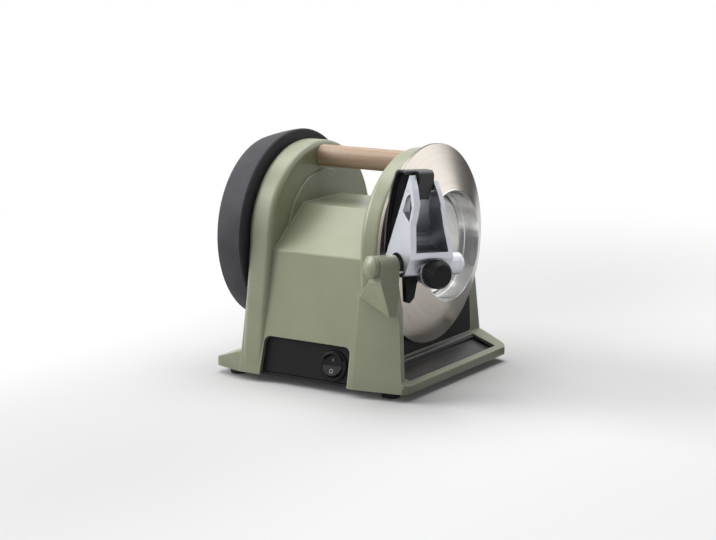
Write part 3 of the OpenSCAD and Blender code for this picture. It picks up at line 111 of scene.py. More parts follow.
class Recipe:
    # the node tree of one material, or of the world
    softSamples = 6

    def __init__(self, name, owner=None):
        self.material = owner or bpy.data.materials.new(name)
        self.material.use_nodes = True
        self.tree = self.material.node_tree
        self.tree.nodes.clear()

    def node(self, kind, settings=None, inputs=None, out=0):
        made = self.tree.nodes.new("ShaderNode" + kind)
        for key, value in (settings or {}).items():
            setattr(made, key, value)
        for key, value in (inputs or {}).items():
            if isinstance(value, Field):
                self.tree.links.new(value.socket, made.inputs[key])
            else:
                made.inputs[key].default_value = value
        return Field(self, made.outputs[out]) if made.outputs else None

    def backgroundRay(self):
        # 1 where the camera, a reflection or a view through glass looks
        kinds = ("Is Camera Ray", "Is Glossy Ray", "Is Transmission Ray")
        camera, glossy, through = [self.node("LightPath", out=kind) for kind in kinds]
        return camera.calc("MAXIMUM", camera.calc("MAXIMUM", camera, glossy), through)

    def spot(self, scale=(1, 1, 1), shift=(0, 0, 0)):
        # the piece's own coordinates in metres, moved and then scaled
        here = self.node("TexCoord", out="Object")
        moved = self.node("VectorMath", {"operation": "SUBTRACT"}, {0: here, 1: shift})
        return self.node("VectorMath", {"operation": "MULTIPLY"}, {0: moved, 1: scale})

    def axes(self, vector):
        return [self.node("SeparateXYZ", None, {0: vector}, out=i) for i in range(3)]

    def vector(self, x, y, z=0.0):
        return self.node("CombineXYZ", None, {0: x, 1: y, 2: z})

    def noise(self, vector, scale, detail=2.0, roughness=0.5):
        sockets = {"Vector": vector, "Scale": scale, "Detail": detail, "Roughness": roughness}
        return self.node("TexNoise", None, sockets)

    def mix(self, share, first, second):
        return self.node("Mix", {"data_type": "RGBA"}, {0: share, 6: first, 7: second}, out=2)

    def ramp(self, share, limits, first=0.0, last=1.0):
        sockets = {0: share, 1: limits[0], 2: limits[1], 3: first, 4: last}
        return self.node("MapRange", {"interpolation_type": "SMOOTHSTEP"}, sockets)

    def bump(self, height, strength, distance, edge=0.0):
        sockets = {"Height": height, "Strength": strength, "Distance": distance}
        if edge:
            sockets["Normal"] = self.node("Bevel", {"samples": self.softSamples}, {"Radius": edge})
        return self.node("Bump", None, sockets)

    def openness(self, distance):
        # 1 on open faces, less in corners and gaps
        return self.node("AmbientOcclusion", {"samples": self.softSamples}, {"Distance": distance}, out=1)

    def rim(self, radius):
        # above 0 where a face turns over an edge
        soft = self.node("Bevel", {"samples": self.softSamples}, {"Radius": radius})
        flat = self.node("NewGeometry", out="Normal")
        return 1 - self.node("VectorMath", {"operation": "DOT_PRODUCT"}, {0: soft, 1: flat}, out=1)

    def surface(self, **sockets):
        names = {"colour": "Base Color", "rough": "Roughness", "metal": "Metallic", "normal": "Normal",
                 "coat": "Coat Weight", "coatRough": "Coat Roughness", "shine": "Specular IOR Level"}
        shader = self.node("BsdfPrincipled", None, {names[key]: value for key, value in sockets.items()})
        self.node("OutputMaterial", None, {"Surface": shader})
        return self.material


def dress(material, *names):
    for name in names:
        piece = nodes[name]
        piece.data.materials.clear()
        piece.data.materials.append(material)


# Sage powder coat: a satin film with a faint orange peel, with shade painted into corners and gaps and a
# highlight painted along edges
paint = {"colour": linear(156, 160, 133), "deep": linear(149, 153, 126),
         "cloudSize": 22, "cloudRange": (0.35, 0.68),
         "grain": linear(120, 124, 100), "grainSize": 5200, "grainRange": (0.62, 0.78), "grainShare": 0.10,
         "shade": linear(78, 80, 64), "cornerSize": 0.045, "cornerRange": (0.35, 0.95), "corner": 0.5,
         "light": linear(198, 201, 178), "highlightSize": 0.0016, "highlightRange": (0.004, 0.10), "rim": 0.55,
         "rough": 0.36, "cloudRough": 0.10, "peelRough": 0.08, "coat": 0.12, "coatRough": 0.22,
         "peelSize": 620, "peelDepth": 0.00006, "peelBump": 0.35, "grainHeight": 0.25, "edge": 0.0011}


def paintCoat():
    r = Recipe("sagePaint")
    here = r.spot()
    cloud = r.noise(here, paint["cloudSize"], 3)
    peel = r.noise(here, paint["peelSize"], 2)
    grain = r.noise(here, paint["grainSize"], 1)
    colour = r.mix(r.ramp(cloud, paint["cloudRange"]), paint["colour"], paint["deep"])
    colour = r.mix(r.ramp(grain, paint["grainRange"]) * paint["grainShare"], colour, paint["grain"])
    # painted shade: the colour darkens towards the shade colour in corners and gaps, where less light reaches
    corner = r.ramp(r.openness(paint["cornerSize"]), paint["cornerRange"], paint["corner"], 0.0)
    colour = r.mix(corner, colour, paint["shade"])
    # painted highlight: a lighter colour along edges, where a rounded edge would catch the light
    colour = r.mix(r.ramp(r.rim(paint["highlightSize"]), paint["highlightRange"]) * paint["rim"], colour, paint["light"])
    rough = paint["rough"] + (cloud - 0.5) * paint["cloudRough"] + (peel - 0.5) * paint["peelRough"]
    normal = r.bump(peel + grain * paint["grainHeight"], paint["peelBump"], paint["peelDepth"], paint["edge"])
    return r.surface(colour=colour, rough=rough, normal=normal,
                     coat=paint["coat"], coatRough=paint["coatRough"])


# Moulded black plastic with a fine spark texture
plastic = {"colour": linear(20, 20, 21), "worn": linear(32, 32, 33), "shine": 0.16, "rough": 0.46,
           "sparkSize": 2600, "sparkDepth": 0.00005, "sparkBump": 0.5, "sparkRough": 0.16,
           "hazeSize": 60, "hazeRange": (0.42, 0.78), "hazeShare": 0.35, "hazeRough": 0.08}


def mouldedPlastic(name, colour, rough, depth, edge=0.0004, shine=plastic["shine"]):
    r = Recipe(name)
    here = r.spot()
    spark = r.noise(here, plastic["sparkSize"], 2)
    haze = r.noise(here, plastic["hazeSize"], 3)
    tone = r.mix(r.ramp(haze, plastic["hazeRange"]) * plastic["hazeShare"], colour, plastic["worn"])
    rough = rough + (spark - 0.5) * plastic["sparkRough"] + (haze - 0.5) * plastic["hazeRough"]
    normal = r.bump(spark, plastic["sparkBump"], depth, edge)
    return r.surface(colour=tone, rough=rough, normal=normal, shine=shine)


# Rubber of the feet, the grommet and the belt
rubber = {"colour": linear(26, 26, 27), "rough": 0.78, "dust": linear(58, 57, 55), "dustSize": 240,
          "dustRange": (0.5, 0.8), "dustShare": 0.4, "dustRough": 0.15, "poreSize": 3000, "poreBump": 0.4,
          "poreDepth": 0.00008}


def softRubber():
    r = Recipe("blackRubber")
    here = r.spot()
    dust = r.noise(here, rubber["dustSize"], 4, 0.7)
    pores = r.noise(here, rubber["poreSize"], 2)
    colour = r.mix(r.ramp(dust, rubber["dustRange"]) * rubber["dustShare"], rubber["colour"], rubber["dust"])
    return r.surface(colour=colour, rough=rubber["rough"] + (dust - 0.5) * rubber["dustRough"],
                     normal=r.bump(pores, rubber["poreBump"], rubber["poreDepth"]))


# Beech of the carrying bar: long grain with short dark flecks
beech = {"light": linear(184, 161, 138), "dark": linear(160, 132, 107), "fleck": linear(140, 106, 78),
         "ringStretch": (1, 0.055, 1), "bendSize": 30.0, "bend": 0.004, "ringSize": 95.0, "ringWarp": 3.5,
         "ringDetail": 1.6, "ringRange": (0.1, 0.95), "ringShare": 0.55, "ringHeight": 0.4,
         "flowStretch": (1, 0.12, 1), "flowSize": 55, "flowRange": (0.35, 0.7), "flowShare": 0.35,
         "fleckStretch": (1, 0.09, 1), "fleckSize": 1900, "fleckRange": (0.61, 0.70), "fleckShare": 0.55,
         "rough": 0.5, "fleckRough": 0.18, "flowRough": 0.1, "grainBump": 0.35, "grainDepth": 0.00010}


def beechWood():
    r = Recipe("beechWood")
    run = r.spot(beech["ringStretch"])
    flow = r.noise(r.spot(beech["flowStretch"]), beech["flowSize"], 3)
    drift = r.node("TexNoise", None, {"Vector": run, "Scale": beech["bendSize"], "Detail": 1.0}, out=1)
    drift = r.node("VectorMath", {"operation": "SCALE"}, {0: drift, "Scale": beech["bend"]})
    bent = r.node("VectorMath", {"operation": "ADD"}, {0: run, 1: drift})
    rings = r.node("TexWave", {"wave_type": "BANDS", "bands_direction": "X", "wave_profile": "SIN"},
                   {"Vector": bent, "Scale": beech["ringSize"], "Distortion": beech["ringWarp"],
                    "Detail": 3.0, "Detail Scale": beech["ringDetail"]}, out=1)
    fleck = r.ramp(r.noise(r.spot(beech["fleckStretch"]), beech["fleckSize"], 2, 0.6), beech["fleckRange"])
    dark = r.ramp(rings, beech["ringRange"]) * beech["ringShare"]
    dark = dark + r.ramp(flow, beech["flowRange"]) * beech["flowShare"]
    colour = r.mix(dark, beech["light"], beech["dark"])
    colour = r.mix(fleck * beech["fleckShare"], colour, beech["fleck"])
    rough = beech["rough"] + fleck * beech["fleckRough"] + (flow - 0.5) * beech["flowRough"]
    normal = r.bump(rings * beech["ringHeight"] - fleck, beech["grainBump"], beech["grainDepth"])
    return r.surface(colour=colour, rough=rough, normal=normal)


def turned(r):
    # distance from the spindle, angle round it and place along it
    x, y, z = r.axes(r.spot((1, 1, 1), (wheelMiddle["x"], 0, wheelMiddle["z"])))
    radius = (x * x + z * z) ** 0.5
    angle = x.calc("ARCTAN2", z, x)
    return radius, angle, y


# Steel of the conical wheel: turned, with a fine diamond coat on the cone
steel = {"colour": linear(196, 190, 182),
         "warm": linear(184, 175, 165), "warmRange": (0.3, 0.7), "warmShare": 0.4,
         "bowl": linear(234, 234, 233), "wall": linear(212, 212, 211),
         "rim": linear(96, 92, 86), "rimShare": 0.75,
         "floorRadius": 0.0345, "coneRadius": 0.042, "rimRadius": 0.0747,
         "lines": (3600, 1.4, 900), "broadLines": (260, 0.5),
         "grit": linear(140, 132, 122), "gritSize": 5200, "gritRange": (0.5, 0.75), "gritShare": 0.2,
         "bowlRough": 0.18, "coneRough": 0.12, "grooveRough": 0.14,
         "bowlGroove": 1.4, "coneGroove": 0.5, "gritHeight": 0.7,
         "bump": 0.16, "depth": 0.000022, "edge": 0.0005}


def wheelFinish():
    r = Recipe("turnedWheel")
    radius, angle, depth = turned(r)
    across, around, deep = steel["lines"]
    groove = r.noise(r.vector(radius * across, angle * around, depth * deep), 1.0, 3, 0.6)
    across, around = steel["broadLines"]
    broad = r.noise(r.vector(radius * across, angle * around), 1.0, 2)
    grit = r.noise(r.spot(), steel["gritSize"], 2)
    cone = radius > steel["coneRadius"]
    warm = r.ramp(broad, steel["warmRange"]) * steel["warmShare"]
    colour = r.mix(warm, steel["colour"], steel["warm"])
    colour = r.mix(r.ramp(grit, steel["gritRange"]) * steel["gritShare"], colour, steel["grit"])
    bowl = r.mix(radius > steel["floorRadius"], steel["bowl"], steel["wall"])
    colour = r.mix(cone, bowl, colour)
    colour = r.mix((radius > steel["rimRadius"]) * steel["rimShare"], colour, steel["rim"])
    rough = steel["bowlRough"] + cone * steel["coneRough"] + (groove - 0.5) * steel["grooveRough"]
    height = groove * (steel["bowlGroove"] - cone * steel["coneGroove"])
    height = height + grit * cone * steel["gritHeight"]
    normal = r.bump(height, steel["bump"], steel["depth"], steel["edge"])
    return r.surface(colour=colour, rough=rough, metal=1.0, normal=normal)


# Honing wheel: dark rubbery composite, turned on its rim
honing = {"colour": linear(68, 69, 73), "deep": linear(54, 54, 58), "cloudSize": 35, "cloudRange": (0.3, 0.7),
          "speck": linear(90, 90, 95), "speckSize": 2400, "speckRange": (0.58, 0.72), "speckShare": 0.55,
          "lines": (1800, 2, 2600), "rough": 0.72, "speckRough": 0.2, "speckHeight": 0.7,
          "bump": 0.45, "depth": 0.00008, "edge": 0.0006, "shine": 0.3}


def honingFinish():
    r = Recipe("honingComposite")
    radius, angle, depth = turned(r)
    here = r.spot()
    across, around, deep = honing["lines"]
    lines = r.noise(r.vector(radius * across, angle * around, depth * deep), 1.0, 3, 0.6)
    grains = r.noise(here, honing["speckSize"], 3, 0.65)
    cloud = r.noise(here, honing["cloudSize"], 3)
    colour = r.mix(r.ramp(cloud, honing["cloudRange"]), honing["colour"], honing["deep"])
    colour = r.mix(r.ramp(grains, honing["speckRange"]) * honing["speckShare"], colour, honing["speck"])
    normal = r.bump(grains * honing["speckHeight"] + lines, honing["bump"], honing["depth"], honing["edge"])
    return r.surface(colour=colour, rough=honing["rough"] + (grains - 0.5) * honing["speckRough"],
                     normal=normal, shine=honing["shine"])


# Cast and blasted aluminium of the guide, drawn steel of the small parts; with corner set, shade is painted
# into corners and the guide's pocket
metal = {"cloudSize": 70, "cloudRange": (0.35, 0.7), "cloudShare": 0.6, "cloudTone": 0.88, "cloudRough": 0.08,
         "grainRough": 0.14, "grainBump": 0.35, "edge": 0.0004,
         "cornerSize": 0.028, "cornerRange": (0.30, 0.92), "shade": linear(74, 73, 72)}


def bareMetal(name, colour, rough, size, depth, stretch=(1, 1, 1), corner=0.0):
    r = Recipe(name)
    grain = r.noise(r.spot(stretch), size, 3, 0.6)
    cloud = r.noise(r.spot(), metal["cloudSize"], 3)
    share = r.ramp(cloud, metal["cloudRange"]) * metal["cloudShare"]
    tone = r.mix(share, colour, darker(colour, metal["cloudTone"]))
    # painted shade: corners and hollows darken towards the shade colour, by the share given in corner
    if corner:
        cornerShadeShare = r.ramp(r.openness(metal["cornerSize"]), metal["cornerRange"], corner, 0.0)
        tone = r.mix(cornerShadeShare, tone, metal["shade"])
    rough = rough + (grain - 0.5) * metal["grainRough"] + (cloud - 0.5) * metal["cloudRough"]
    normal = r.bump(grain, metal["grainBump"], depth, metal["edge"])
    return r.surface(colour=tone, rough=rough, metal=1.0, normal=normal)


# Turned small parts round the spindle: nuts, flanges, spindle ends
turnings = {"lines": (2600, 1.2, 2600), "cloudSize": 120, "cloudShare": 0.5, "cloudTone": 0.8,
            "lineRough": 0.18, "bump": 0.35, "depth": 0.00004, "edge": 0.0004}


def turnedMetal(name, colour, rough):
    r = Recipe(name)
    radius, angle, depth = turned(r)
    across, around, deep = turnings["lines"]
    lines = r.noise(r.vector(radius * across, angle * around, depth * deep), 1.0, 3, 0.6)
    cloud = r.noise(r.spot(), turnings["cloudSize"], 2)
    tone = r.mix(cloud * turnings["cloudShare"], colour, darker(colour, turnings["cloudTone"]))
    normal = r.bump(lines, turnings["bump"], turnings["depth"], turnings["edge"])
    rough = rough + (lines - 0.5) * turnings["lineRough"]
    return r.surface(colour=tone, rough=rough, metal=1.0, normal=normal)


# Tray: satin black with long brush marks
tray = {"colour": linear(40, 40, 42), "haze": linear(56, 55, 57), "hazeSize": 45, "hazeRange": (0.4, 0.8),
        "hazeShare": 0.5, "brushStretch": (0.02, 1, 1), "brushSize": 2600, "rough": 0.34, "brushRough": 0.3,
        "metal": 0.35, "bump": 0.4, "depth": 0.00004, "edge": 0.0003}


def trayFinish():
    r = Recipe("trayBlack")
    brush = r.noise(r.spot(tray["brushStretch"]), tray["brushSize"], 3, 0.6)
    haze = r.noise(r.spot(), tray["hazeSize"], 3)
    colour = r.mix(r.ramp(haze, tray["hazeRange"]) * tray["hazeShare"], tray["colour"], tray["haze"])
    rough = tray["rough"] + (brush - 0.5) * tray["brushRough"]
    normal = r.bump(brush, tray["bump"], tray["depth"], tray["edge"])
    return r.surface(colour=colour, rough=rough, metal=tray["metal"], normal=normal)


# Laminate of the control board, with its tracks
board = {"one": linear(38, 98, 62), "two": linear(34, 90, 56),
         "track": linear(92, 140, 84), "trackSize": 320.0, "trackWidth": 0.03,
         "rough": 0.4, "weaveSize": 900, "weaveRough": 0.1}


def boardFinish():
    r = Recipe("boardGreen")
    tracks = r.node("TexBrick", None, {"Vector": r.spot(), "Scale": board["trackSize"],
                                       "Color1": board["one"], "Color2": board["two"],
                                       "Mortar": board["track"], "Mortar Size": board["trackWidth"]})
    weave = r.noise(r.spot(), board["weaveSize"], 2)
    return r.surface(colour=tracks, rough=board["rough"] + weave * board["weaveRough"])


blackPlastic = mouldedPlastic("blackPlastic", plastic["colour"], plastic["rough"], plastic["sparkDepth"])
glossPlastic = mouldedPlastic("switchPlastic", linear(24, 24, 25), 0.30, 0.00002)
jawPlastic = mouldedPlastic("jawPlastic", linear(34, 35, 35), 0.36, 0.00003, 0.0006, 0.5)
# painted shade: a near-black, dull copy of the jaw plastic for the jaw's sunk side
jawRecessShade = mouldedPlastic("jawRecessShade", linear(6, 6, 7), 0.6, 0.00005, shine=0.05)
gripPlastic = mouldedPlastic("gripPlastic", linear(30, 30, 31), 0.42, 0.00004)
blackSheet = mouldedPlastic("blackSheet", linear(42, 42, 44), 0.5, 0.00006)
paleCase = mouldedPlastic("paleCase", linear(214, 213, 206), 0.5, 0.00003)
castAluminium = bareMetal("castAluminium", linear(198, 200, 208), 0.40, 3200, 0.00004, corner=0.5)
satinAluminium = bareMetal("satinAluminium", linear(196, 198, 202), 0.34, 2400, 0.00003)
drawnSteel = bareMetal("drawnSteel", linear(202, 200, 198), 0.26, 2600, 0.00003)
zincSteel = bareMetal("zincSteel", linear(184, 186, 190), 0.32, 1800, 0.00003)
springSteel = bareMetal("springSteel", linear(168, 170, 176), 0.28, 2600, 0.00002, (1, 1, 0.1))
stripSteel = bareMetal("stripSteel", linear(128, 128, 130), 0.38, 2600, 0.00003, (0.03, 1, 1))
turnedSteel = turnedMetal("turnedSteel", linear(200, 198, 195), 0.28)
nutSteel = turnedMetal("nutSteel", linear(176, 177, 180), 0.34)
hubSteel = turnedMetal("hubSteel", linear(236, 235, 232), 0.24)

dress(paintCoat(), "housing")
dress(blackPlastic, "side_panel", "splash_panel", "friction_washer", "index_pointer", "stop_tail", "jaw")
dress(trayFinish(), "swarf_tray")
dress(stripSteel, "magnetic_strip")
dress(softRubber(), "feet", "inlet_grommet", "drive_belt")
dress(zincSteel, "foot_screws", "plate_screws", "handle_screws", "knob_screw")
dress(beechWood(), "handle")
dress(blackSheet, "bottom_plate", "motor_cradle")
dress(glossPlastic, "switch_bezel", "switch_rocker", "switch_body")
dress(gripPlastic, "knob")
dress(satinAluminium, "motor_shields", "motor_pulley", "spindle_pulley")
dress(drawnSteel, "motor_can", "rotor_shaft", "pivot_shaft", "jaw_pin")
dress(springSteel, "jaw_spring")
dress(boardFinish(), "control_board")
dress(paleCase, "run_capacitor")
dress(turnedSteel, "spindle", "front_bearing", "back_bearing", "honing_spacer", "honing_flange")
dress(nutSteel, "hub_nut", "honing_nut")
dress(wheelFinish(), "diamond_wheel")
dress(hubSteel, "hub_disc")
dress(honingFinish(), "honing_wheel")
dress(castAluminium, "guide_casting", "barrel_cap")
print("sharpener: finishes")


def addPiece(name, bm, material, body, place):
    # a mesh of its own that stands at a place in the frame and rides on a body
    bmesh.ops.recalc_face_normals(bm, faces=bm.faces)
    mesh = bpy.data.meshes.new(name)
    bm.to_mesh(mesh)
    bm.free()
    mesh.transform(place)
    mesh.materials.append(material)
    piece = bpy.data.objects.new(name, mesh)
    bpy.context.scene.collection.objects.link(piece)
    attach(piece, body)
    return piece


# Printed marks on the rocker: a bar and a ring, as on most mains switches
marks = {"length": 0.0025, "width": 0.00045, "ringRadius": 0.0012, "ringWidth": 0.00042, "ringSteps": 40,
         "place": 0.0042, "lift": 0.00004, "thick": 0.00008, "tilt": 9, "ridge": 0.0018,
         "colour": linear(176, 176, 173), "worn": linear(136, 136, 133), "wearSize": 2500,
         "wearRange": (0.45, 0.75), "wearShare": 0.3, "rough": 0.55, "wearRough": 0.2}


def whiteInk():
    r = Recipe("whiteInk")
    wear = r.noise(r.spot(), marks["wearSize"], 3)
    colour = r.mix(r.ramp(wear, marks["wearRange"]) * marks["wearShare"], marks["colour"], marks["worn"])
    return r.surface(colour=colour, rough=marks["rough"] + (wear - 0.5) * marks["wearRough"])


def switchMarks():
    bm = bmesh.new()
    slope = math.tan(math.radians(marks["tilt"]))

    def raised(points):
        # an outline on the rocker's sloping half, and the same a print's thickness higher
        face = [(x, y, marks["ridge"] + abs(x) * slope + marks["lift"]) for x, y in points]
        low = [bm.verts.new((x, y, z)) for x, y, z in face]
        top = [bm.verts.new((x, y, z + marks["thick"])) for x, y, z in face]
        return low, top

    def circle(radius):
        steps = marks["ringSteps"]
        turns = [2 * math.pi * i / steps for i in range(steps)]
        return [(radius * math.cos(t) - marks["place"], radius * math.sin(t)) for t in turns]

    # bar on the upper half
    near = marks["place"] - marks["length"] / 2
    far = marks["place"] + marks["length"] / 2
    side = marks["width"] / 2
    low, top = raised([(near, -side), (far, -side), (far, side), (near, side)])
    bm.faces.new(top)
    bm.faces.new(list(reversed(low)))
    for i in range(4):
        j = (i + 1) % 4
        bm.faces.new((low[i], low[j], top[j], top[i]))
    # ring on the lower half
    lowIn, topIn = raised(circle(marks["ringRadius"]))
    lowOut, topOut = raised(circle(marks["ringRadius"] + marks["ringWidth"]))
    for i in range(marks["ringSteps"]):
        j = (i + 1) % marks["ringSteps"]
        bm.faces.new((topIn[i], topOut[i], topOut[j], topIn[j]))
        bm.faces.new((lowIn[j], lowOut[j], lowOut[i], lowIn[i]))
        bm.faces.new((lowOut[i], lowOut[j], topOut[j], topOut[i]))
        bm.faces.new((lowIn[j], lowIn[i], topIn[i], topIn[j]))
    place = switchFrame @ turn(marks["tilt"], "Y")
    addPiece("switch_marks", bm, whiteInk(), "rocker", place)


switchMarks()
print("sharpener: switch marks")


# Knife jaw: a bent band with a raised rim round its sunk left side, and a rounded leg hooked over the web;
# the sunk side gets a near-black copy of the jaw plastic as painted shade.
# Places are (depth, height) pairs in millimetres in the guide's frame. The leg's top ends inside the band.
jaw = {"start": 19.2, "end": 41.8, "rim": 1.9, "rimLimit": 0.8, "recess": 2.4, "top": 68.6,
       "back": [(15.45, 8.0), (15.6, 17.4), (15.0, 28.1), (13.3, 37.5), (10.7, 49.6), (8.4, 57.0)],
       "slot": [(14.8, 8.0), (11.0, 17.4), (6.9, 28.1), (3.1, 37.5), (-1.9, 49.6), (-4.9, 57.0)],
       "backRound": 5.4, "backMiddle": -0.6, "backFrom": 27, "backSteps": 6,
       "frontRound": 1.5, "front": -9.8, "frontSteps": 4,
       "slotBend": (-5.6, 58.8), "slotTop": (-7.0, 62.0),
       "underBack": (-7.5, 62.0), "underFront": (-9.2, 62.0), "sharp": 35}
leg = {"start": 27.0, "end": 38.9, "round": 3.6, "middle": -12.3, "steps": 6,
       "inBandTop": (-8.9, 68.5), "inBandUnder": (-8.9, 62.2),
       "webBack": (-10.3, 62.2), "webTop": (-12.9, 62.0), "webFront": (-12.6, 60.8),
       "shoulder": (-15.75, 62.0), "footFront": (-10.2, 48.0), "footBack": (-7.1, 48.0)}


def arc(centre, radius, first, last, steps):
    turns = [math.radians(first + (last - first) * i / steps) for i in range(steps + 1)]
    return [(centre[0] + radius * math.cos(t), centre[1] + radius * math.sin(t)) for t in turns]


def along(start, end, steps):
    return [tuple(a + (b - a) * i / steps for a, b in zip(start, end)) for i in range(steps + 1)]


def band(bm, outer, inner, near, far, rim=0.0, recess=0.0):
    # prism between two chains of points; with a rim its near side is sunk, in a second, darker material that
    # paints shade into the recess
    def ring(chain, place):
        return [bm.verts.new((place / 1000, y / 1000, z / 1000)) for y, z in chain]

    outerNear, outerFar = ring(outer, near), ring(outer, far)
    innerNear, innerFar = ring(inner, near + recess), ring(inner, far)
    lines = [outerFar, outerNear, innerNear, innerFar]
    if rim:
        edge = []
        for a, b in zip(outer, inner):
            share = min(jaw["rimLimit"], rim / math.dist(a, b))
            edge.append((a[0] + (b[0] - a[0]) * share, a[1] + (b[1] - a[1]) * share))
        lines[2:2] = [ring(edge, near), ring(edge, near + recess)]
    for i in range(len(outer) - 1):
        for first, second in zip(lines, lines[1:] + lines[:1]):
            face = bm.faces.new((first[i], first[i + 1], second[i + 1], second[i]))
            face.material_index = 1 if rim and second is innerNear else 0
    bm.faces.new([line[0] for line in lines])
    bm.faces.new([line[-1] for line in reversed(lines)])


def knifeJaw():
    bm = bmesh.new()
    top = jaw["top"]
    backMiddle = (jaw["backMiddle"], top - jaw["backRound"])
    frontMiddle = (jaw["front"] + jaw["frontRound"], top - jaw["frontRound"])
    outer = jaw["back"] + arc(backMiddle, jaw["backRound"], jaw["backFrom"], 90, jaw["backSteps"])
    outer += arc(frontMiddle, jaw["frontRound"], 90, 180, jaw["frontSteps"])
    inner = jaw["slot"] + along(jaw["slotBend"], jaw["slotTop"], jaw["backSteps"])
    inner += along(jaw["underBack"], jaw["underFront"], jaw["frontSteps"])
    band(bm, outer, inner, jaw["start"], jaw["end"], jaw["rim"], jaw["recess"])
    legArc = arc((leg["middle"], top - leg["round"]), leg["round"], 90, 180, leg["steps"])
    legOuter = [leg["inBandTop"]] + legArc + [leg["shoulder"], leg["footFront"]]
    legInner = [leg["inBandUnder"]] + along(leg["webBack"], leg["webTop"], leg["steps"])
    legInner += [leg["webFront"], leg["footBack"]]
    band(bm, legOuter, legInner, leg["start"], leg["end"])
    piece = addPiece("knife_jaw", bm, jawPlastic, "jaw_body", guideFrame)
    piece.data.materials.append(jawRecessShade)
    for face in piece.data.polygons:
        face.use_smooth = True
    piece.data.set_sharp_from_angle(angle=math.radians(jaw["sharp"]))
    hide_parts("jaw")


knifeJaw()
print("sharpener: knife jaw")


# Studio: pale floor that takes shadows and has a painted shadow band by the object, white behind, soft boxes,
# and cards that only reflections show
studio = {"skyLight": 0.12, "bounce": 0.34, "floor": 0.80, "floorHalf": 6, "floorLift": 0.03,
          "shade": 0.18, "shadeAt": 0.07, "shadeRange": (0.04, 0.30), "fadeRange": (0.26, 0.85)}
white = (1, 1, 1, 1)
lamps = {"keyBack": {"size": (1.3, 1.3), "power": 38, "place": (-0.85, 1.75, 1.15)},
         "fillLeft": {"size": (0.9, 0.7), "power": 2.0, "place": (-1.7, 0.25, 0.6)},
         "topSoft": {"size": (2.0, 1.6), "power": 36, "place": (0.35, 0.25, 1.85)}}
lampAim = Vector((0, 0, 0.08))
cards = {"rightFlag": {"shade": 0.03, "low": [(1.3, -0.5, -0.1), (1.3, 0.5, -0.1)], "rise": (0, 0, 0.52)},
         "frontFlag": {"shade": 0.36, "low": [(-0.75, -1.3, 0.25), (0.24, -1.3, 0.25)], "rise": (0, 0, 1.05)},
         "frontGlow": {"shade": 1.75, "low": [(0.3, -1.4, 0.34), (1.3, -0.55, 0.34)], "rise": (0, 0, 0.86)},
         # floor card: a dim sheet beside the frame, seen only in reflections, that stands in for the floor's
         # shadow there
         "floorShadowCard": {"shade": 0.22, "low": [(0.1, -0.25, 0.001), (0.3, -0.25, 0.001)],
                       "rise": (0, 0.35, 0)}}


def glow(r, level):
    return r.node("Emission", None, {"Color": white, "Strength": level})


def buildWorld():
    world = bpy.data.worlds.new("paleStudio")
    bpy.context.scene.world = world
    r = Recipe("paleStudio", world)
    level = studio["skyLight"] + r.backgroundRay() * (1 - studio["skyLight"])
    sky = r.node("Background", None, {"Color": white, "Strength": level})
    r.node("OutputWorld", None, {"Surface": sky})


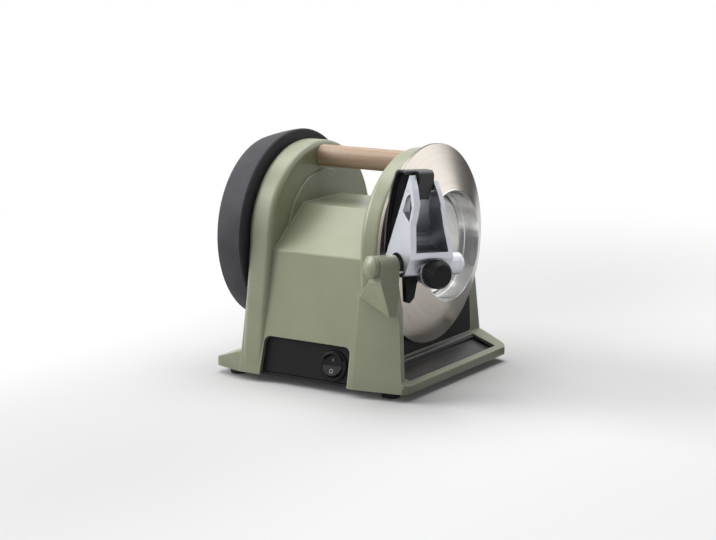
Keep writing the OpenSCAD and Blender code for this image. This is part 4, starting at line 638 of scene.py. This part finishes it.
def buildFloor():
    bm = bmesh.new()
    bmesh.ops.create_grid(bm, x_segments=1, y_segments=1, size=studio["floorHalf"])
    mesh = bpy.data.meshes.new("paleFloor")
    bm.to_mesh(mesh)
    bm.free()
    r = Recipe("paleFloor")

    def matt(level):
        return r.node("BsdfDiffuse", None, {"Color": (level, level, level, 1)})

    x, y, z = r.axes(r.spot())
    seen = r.backgroundRay()
    away = r.ramp((x * x + y * y) ** 0.5, studio["fadeRange"])
    # painted shadow: the floor is darker by shade in a band around y = shadeAt, fading out over shadeRange
    shadowBand = r.ramp(y.calc("ABSOLUTE", y - studio["shadeAt"]), studio["shadeRange"])
    shaded = matt(studio["floor"] * (1 - studio["shade"]))
    pale = r.node("MixShader", None, {0: shadowBand, 1: shaded, 2: matt(studio["floor"])})
    lifted = r.node("AddShader", None, {0: pale, 1: glow(r, studio["floorLift"])})
    near = r.node("MixShader", None, {0: seen, 1: matt(studio["bounce"]), 2: lifted})
    whole = r.node("MixShader", None, {0: seen * away, 1: near, 2: glow(r, 1.0)})
    r.node("OutputMaterial", None, {"Surface": whole})
    mesh.materials.append(r.material)
    floor = bpy.data.objects.new("paleFloor", mesh)
    bpy.context.scene.collection.objects.link(floor)


def softBox(name, size, power, place):
    lamp = bpy.data.lights.new(name, "AREA")
    lamp.shape = "RECTANGLE"
    lamp.size, lamp.size_y = size
    lamp.energy = power
    box = bpy.data.objects.new(name, lamp)
    bpy.context.scene.collection.objects.link(box)
    box.location = place
    box.rotation_euler = (lampAim - Vector(place)).to_track_quat("-Z", "Y").to_euler()


def reflectionCard(name, shade, low, rise):
    high = [tuple(Vector(corner) + Vector(rise)) for corner in reversed(low)]
    mesh = bpy.data.meshes.new(name)
    mesh.from_pydata(low + high, [], [(0, 1, 2, 3)])
    r = Recipe(name)
    r.node("OutputMaterial", None, {"Surface": glow(r, shade)})
    mesh.materials.append(r.material)
    card = bpy.data.objects.new(name, mesh)
    bpy.context.scene.collection.objects.link(card)
    card.visible_camera = False
    card.visible_diffuse = False
    card.visible_shadow = False


buildWorld()
buildFloor()
for name, settings in lamps.items():
    softBox(name, **settings)
for name, settings in cards.items():
    reflectionCard(name, **settings)
print("sharpener: studio")


# Camera where the photograph was taken from
camera = {"place": (-1.17298, -0.73952, 0.35452), "right": (0.5382, -0.8428, 0.0),
          "ahead": (0.8267, 0.5279, -0.1947), "lens": 93.54, "sensor": 36, "nearest": 0.01}


def buildCamera():
    ahead = Vector(camera["ahead"]).normalized()
    right = Vector(camera["right"]).normalized()
    up = right.cross(ahead)
    data = bpy.data.cameras.new("photoCamera")
    data.lens = camera["lens"]
    data.sensor_width = camera["sensor"]
    data.clip_start = camera["nearest"]
    eye = bpy.data.objects.new("photoCamera", data)
    bpy.context.scene.collection.objects.link(eye)
    eye.matrix_world = move(camera["place"]) @ Matrix((right, up, -ahead)).transposed().to_4x4()
    bpy.context.scene.camera = eye


buildCamera()
bpy.context.scene.view_settings.view_transform = "Standard"
print("sharpener: camera and sizes")
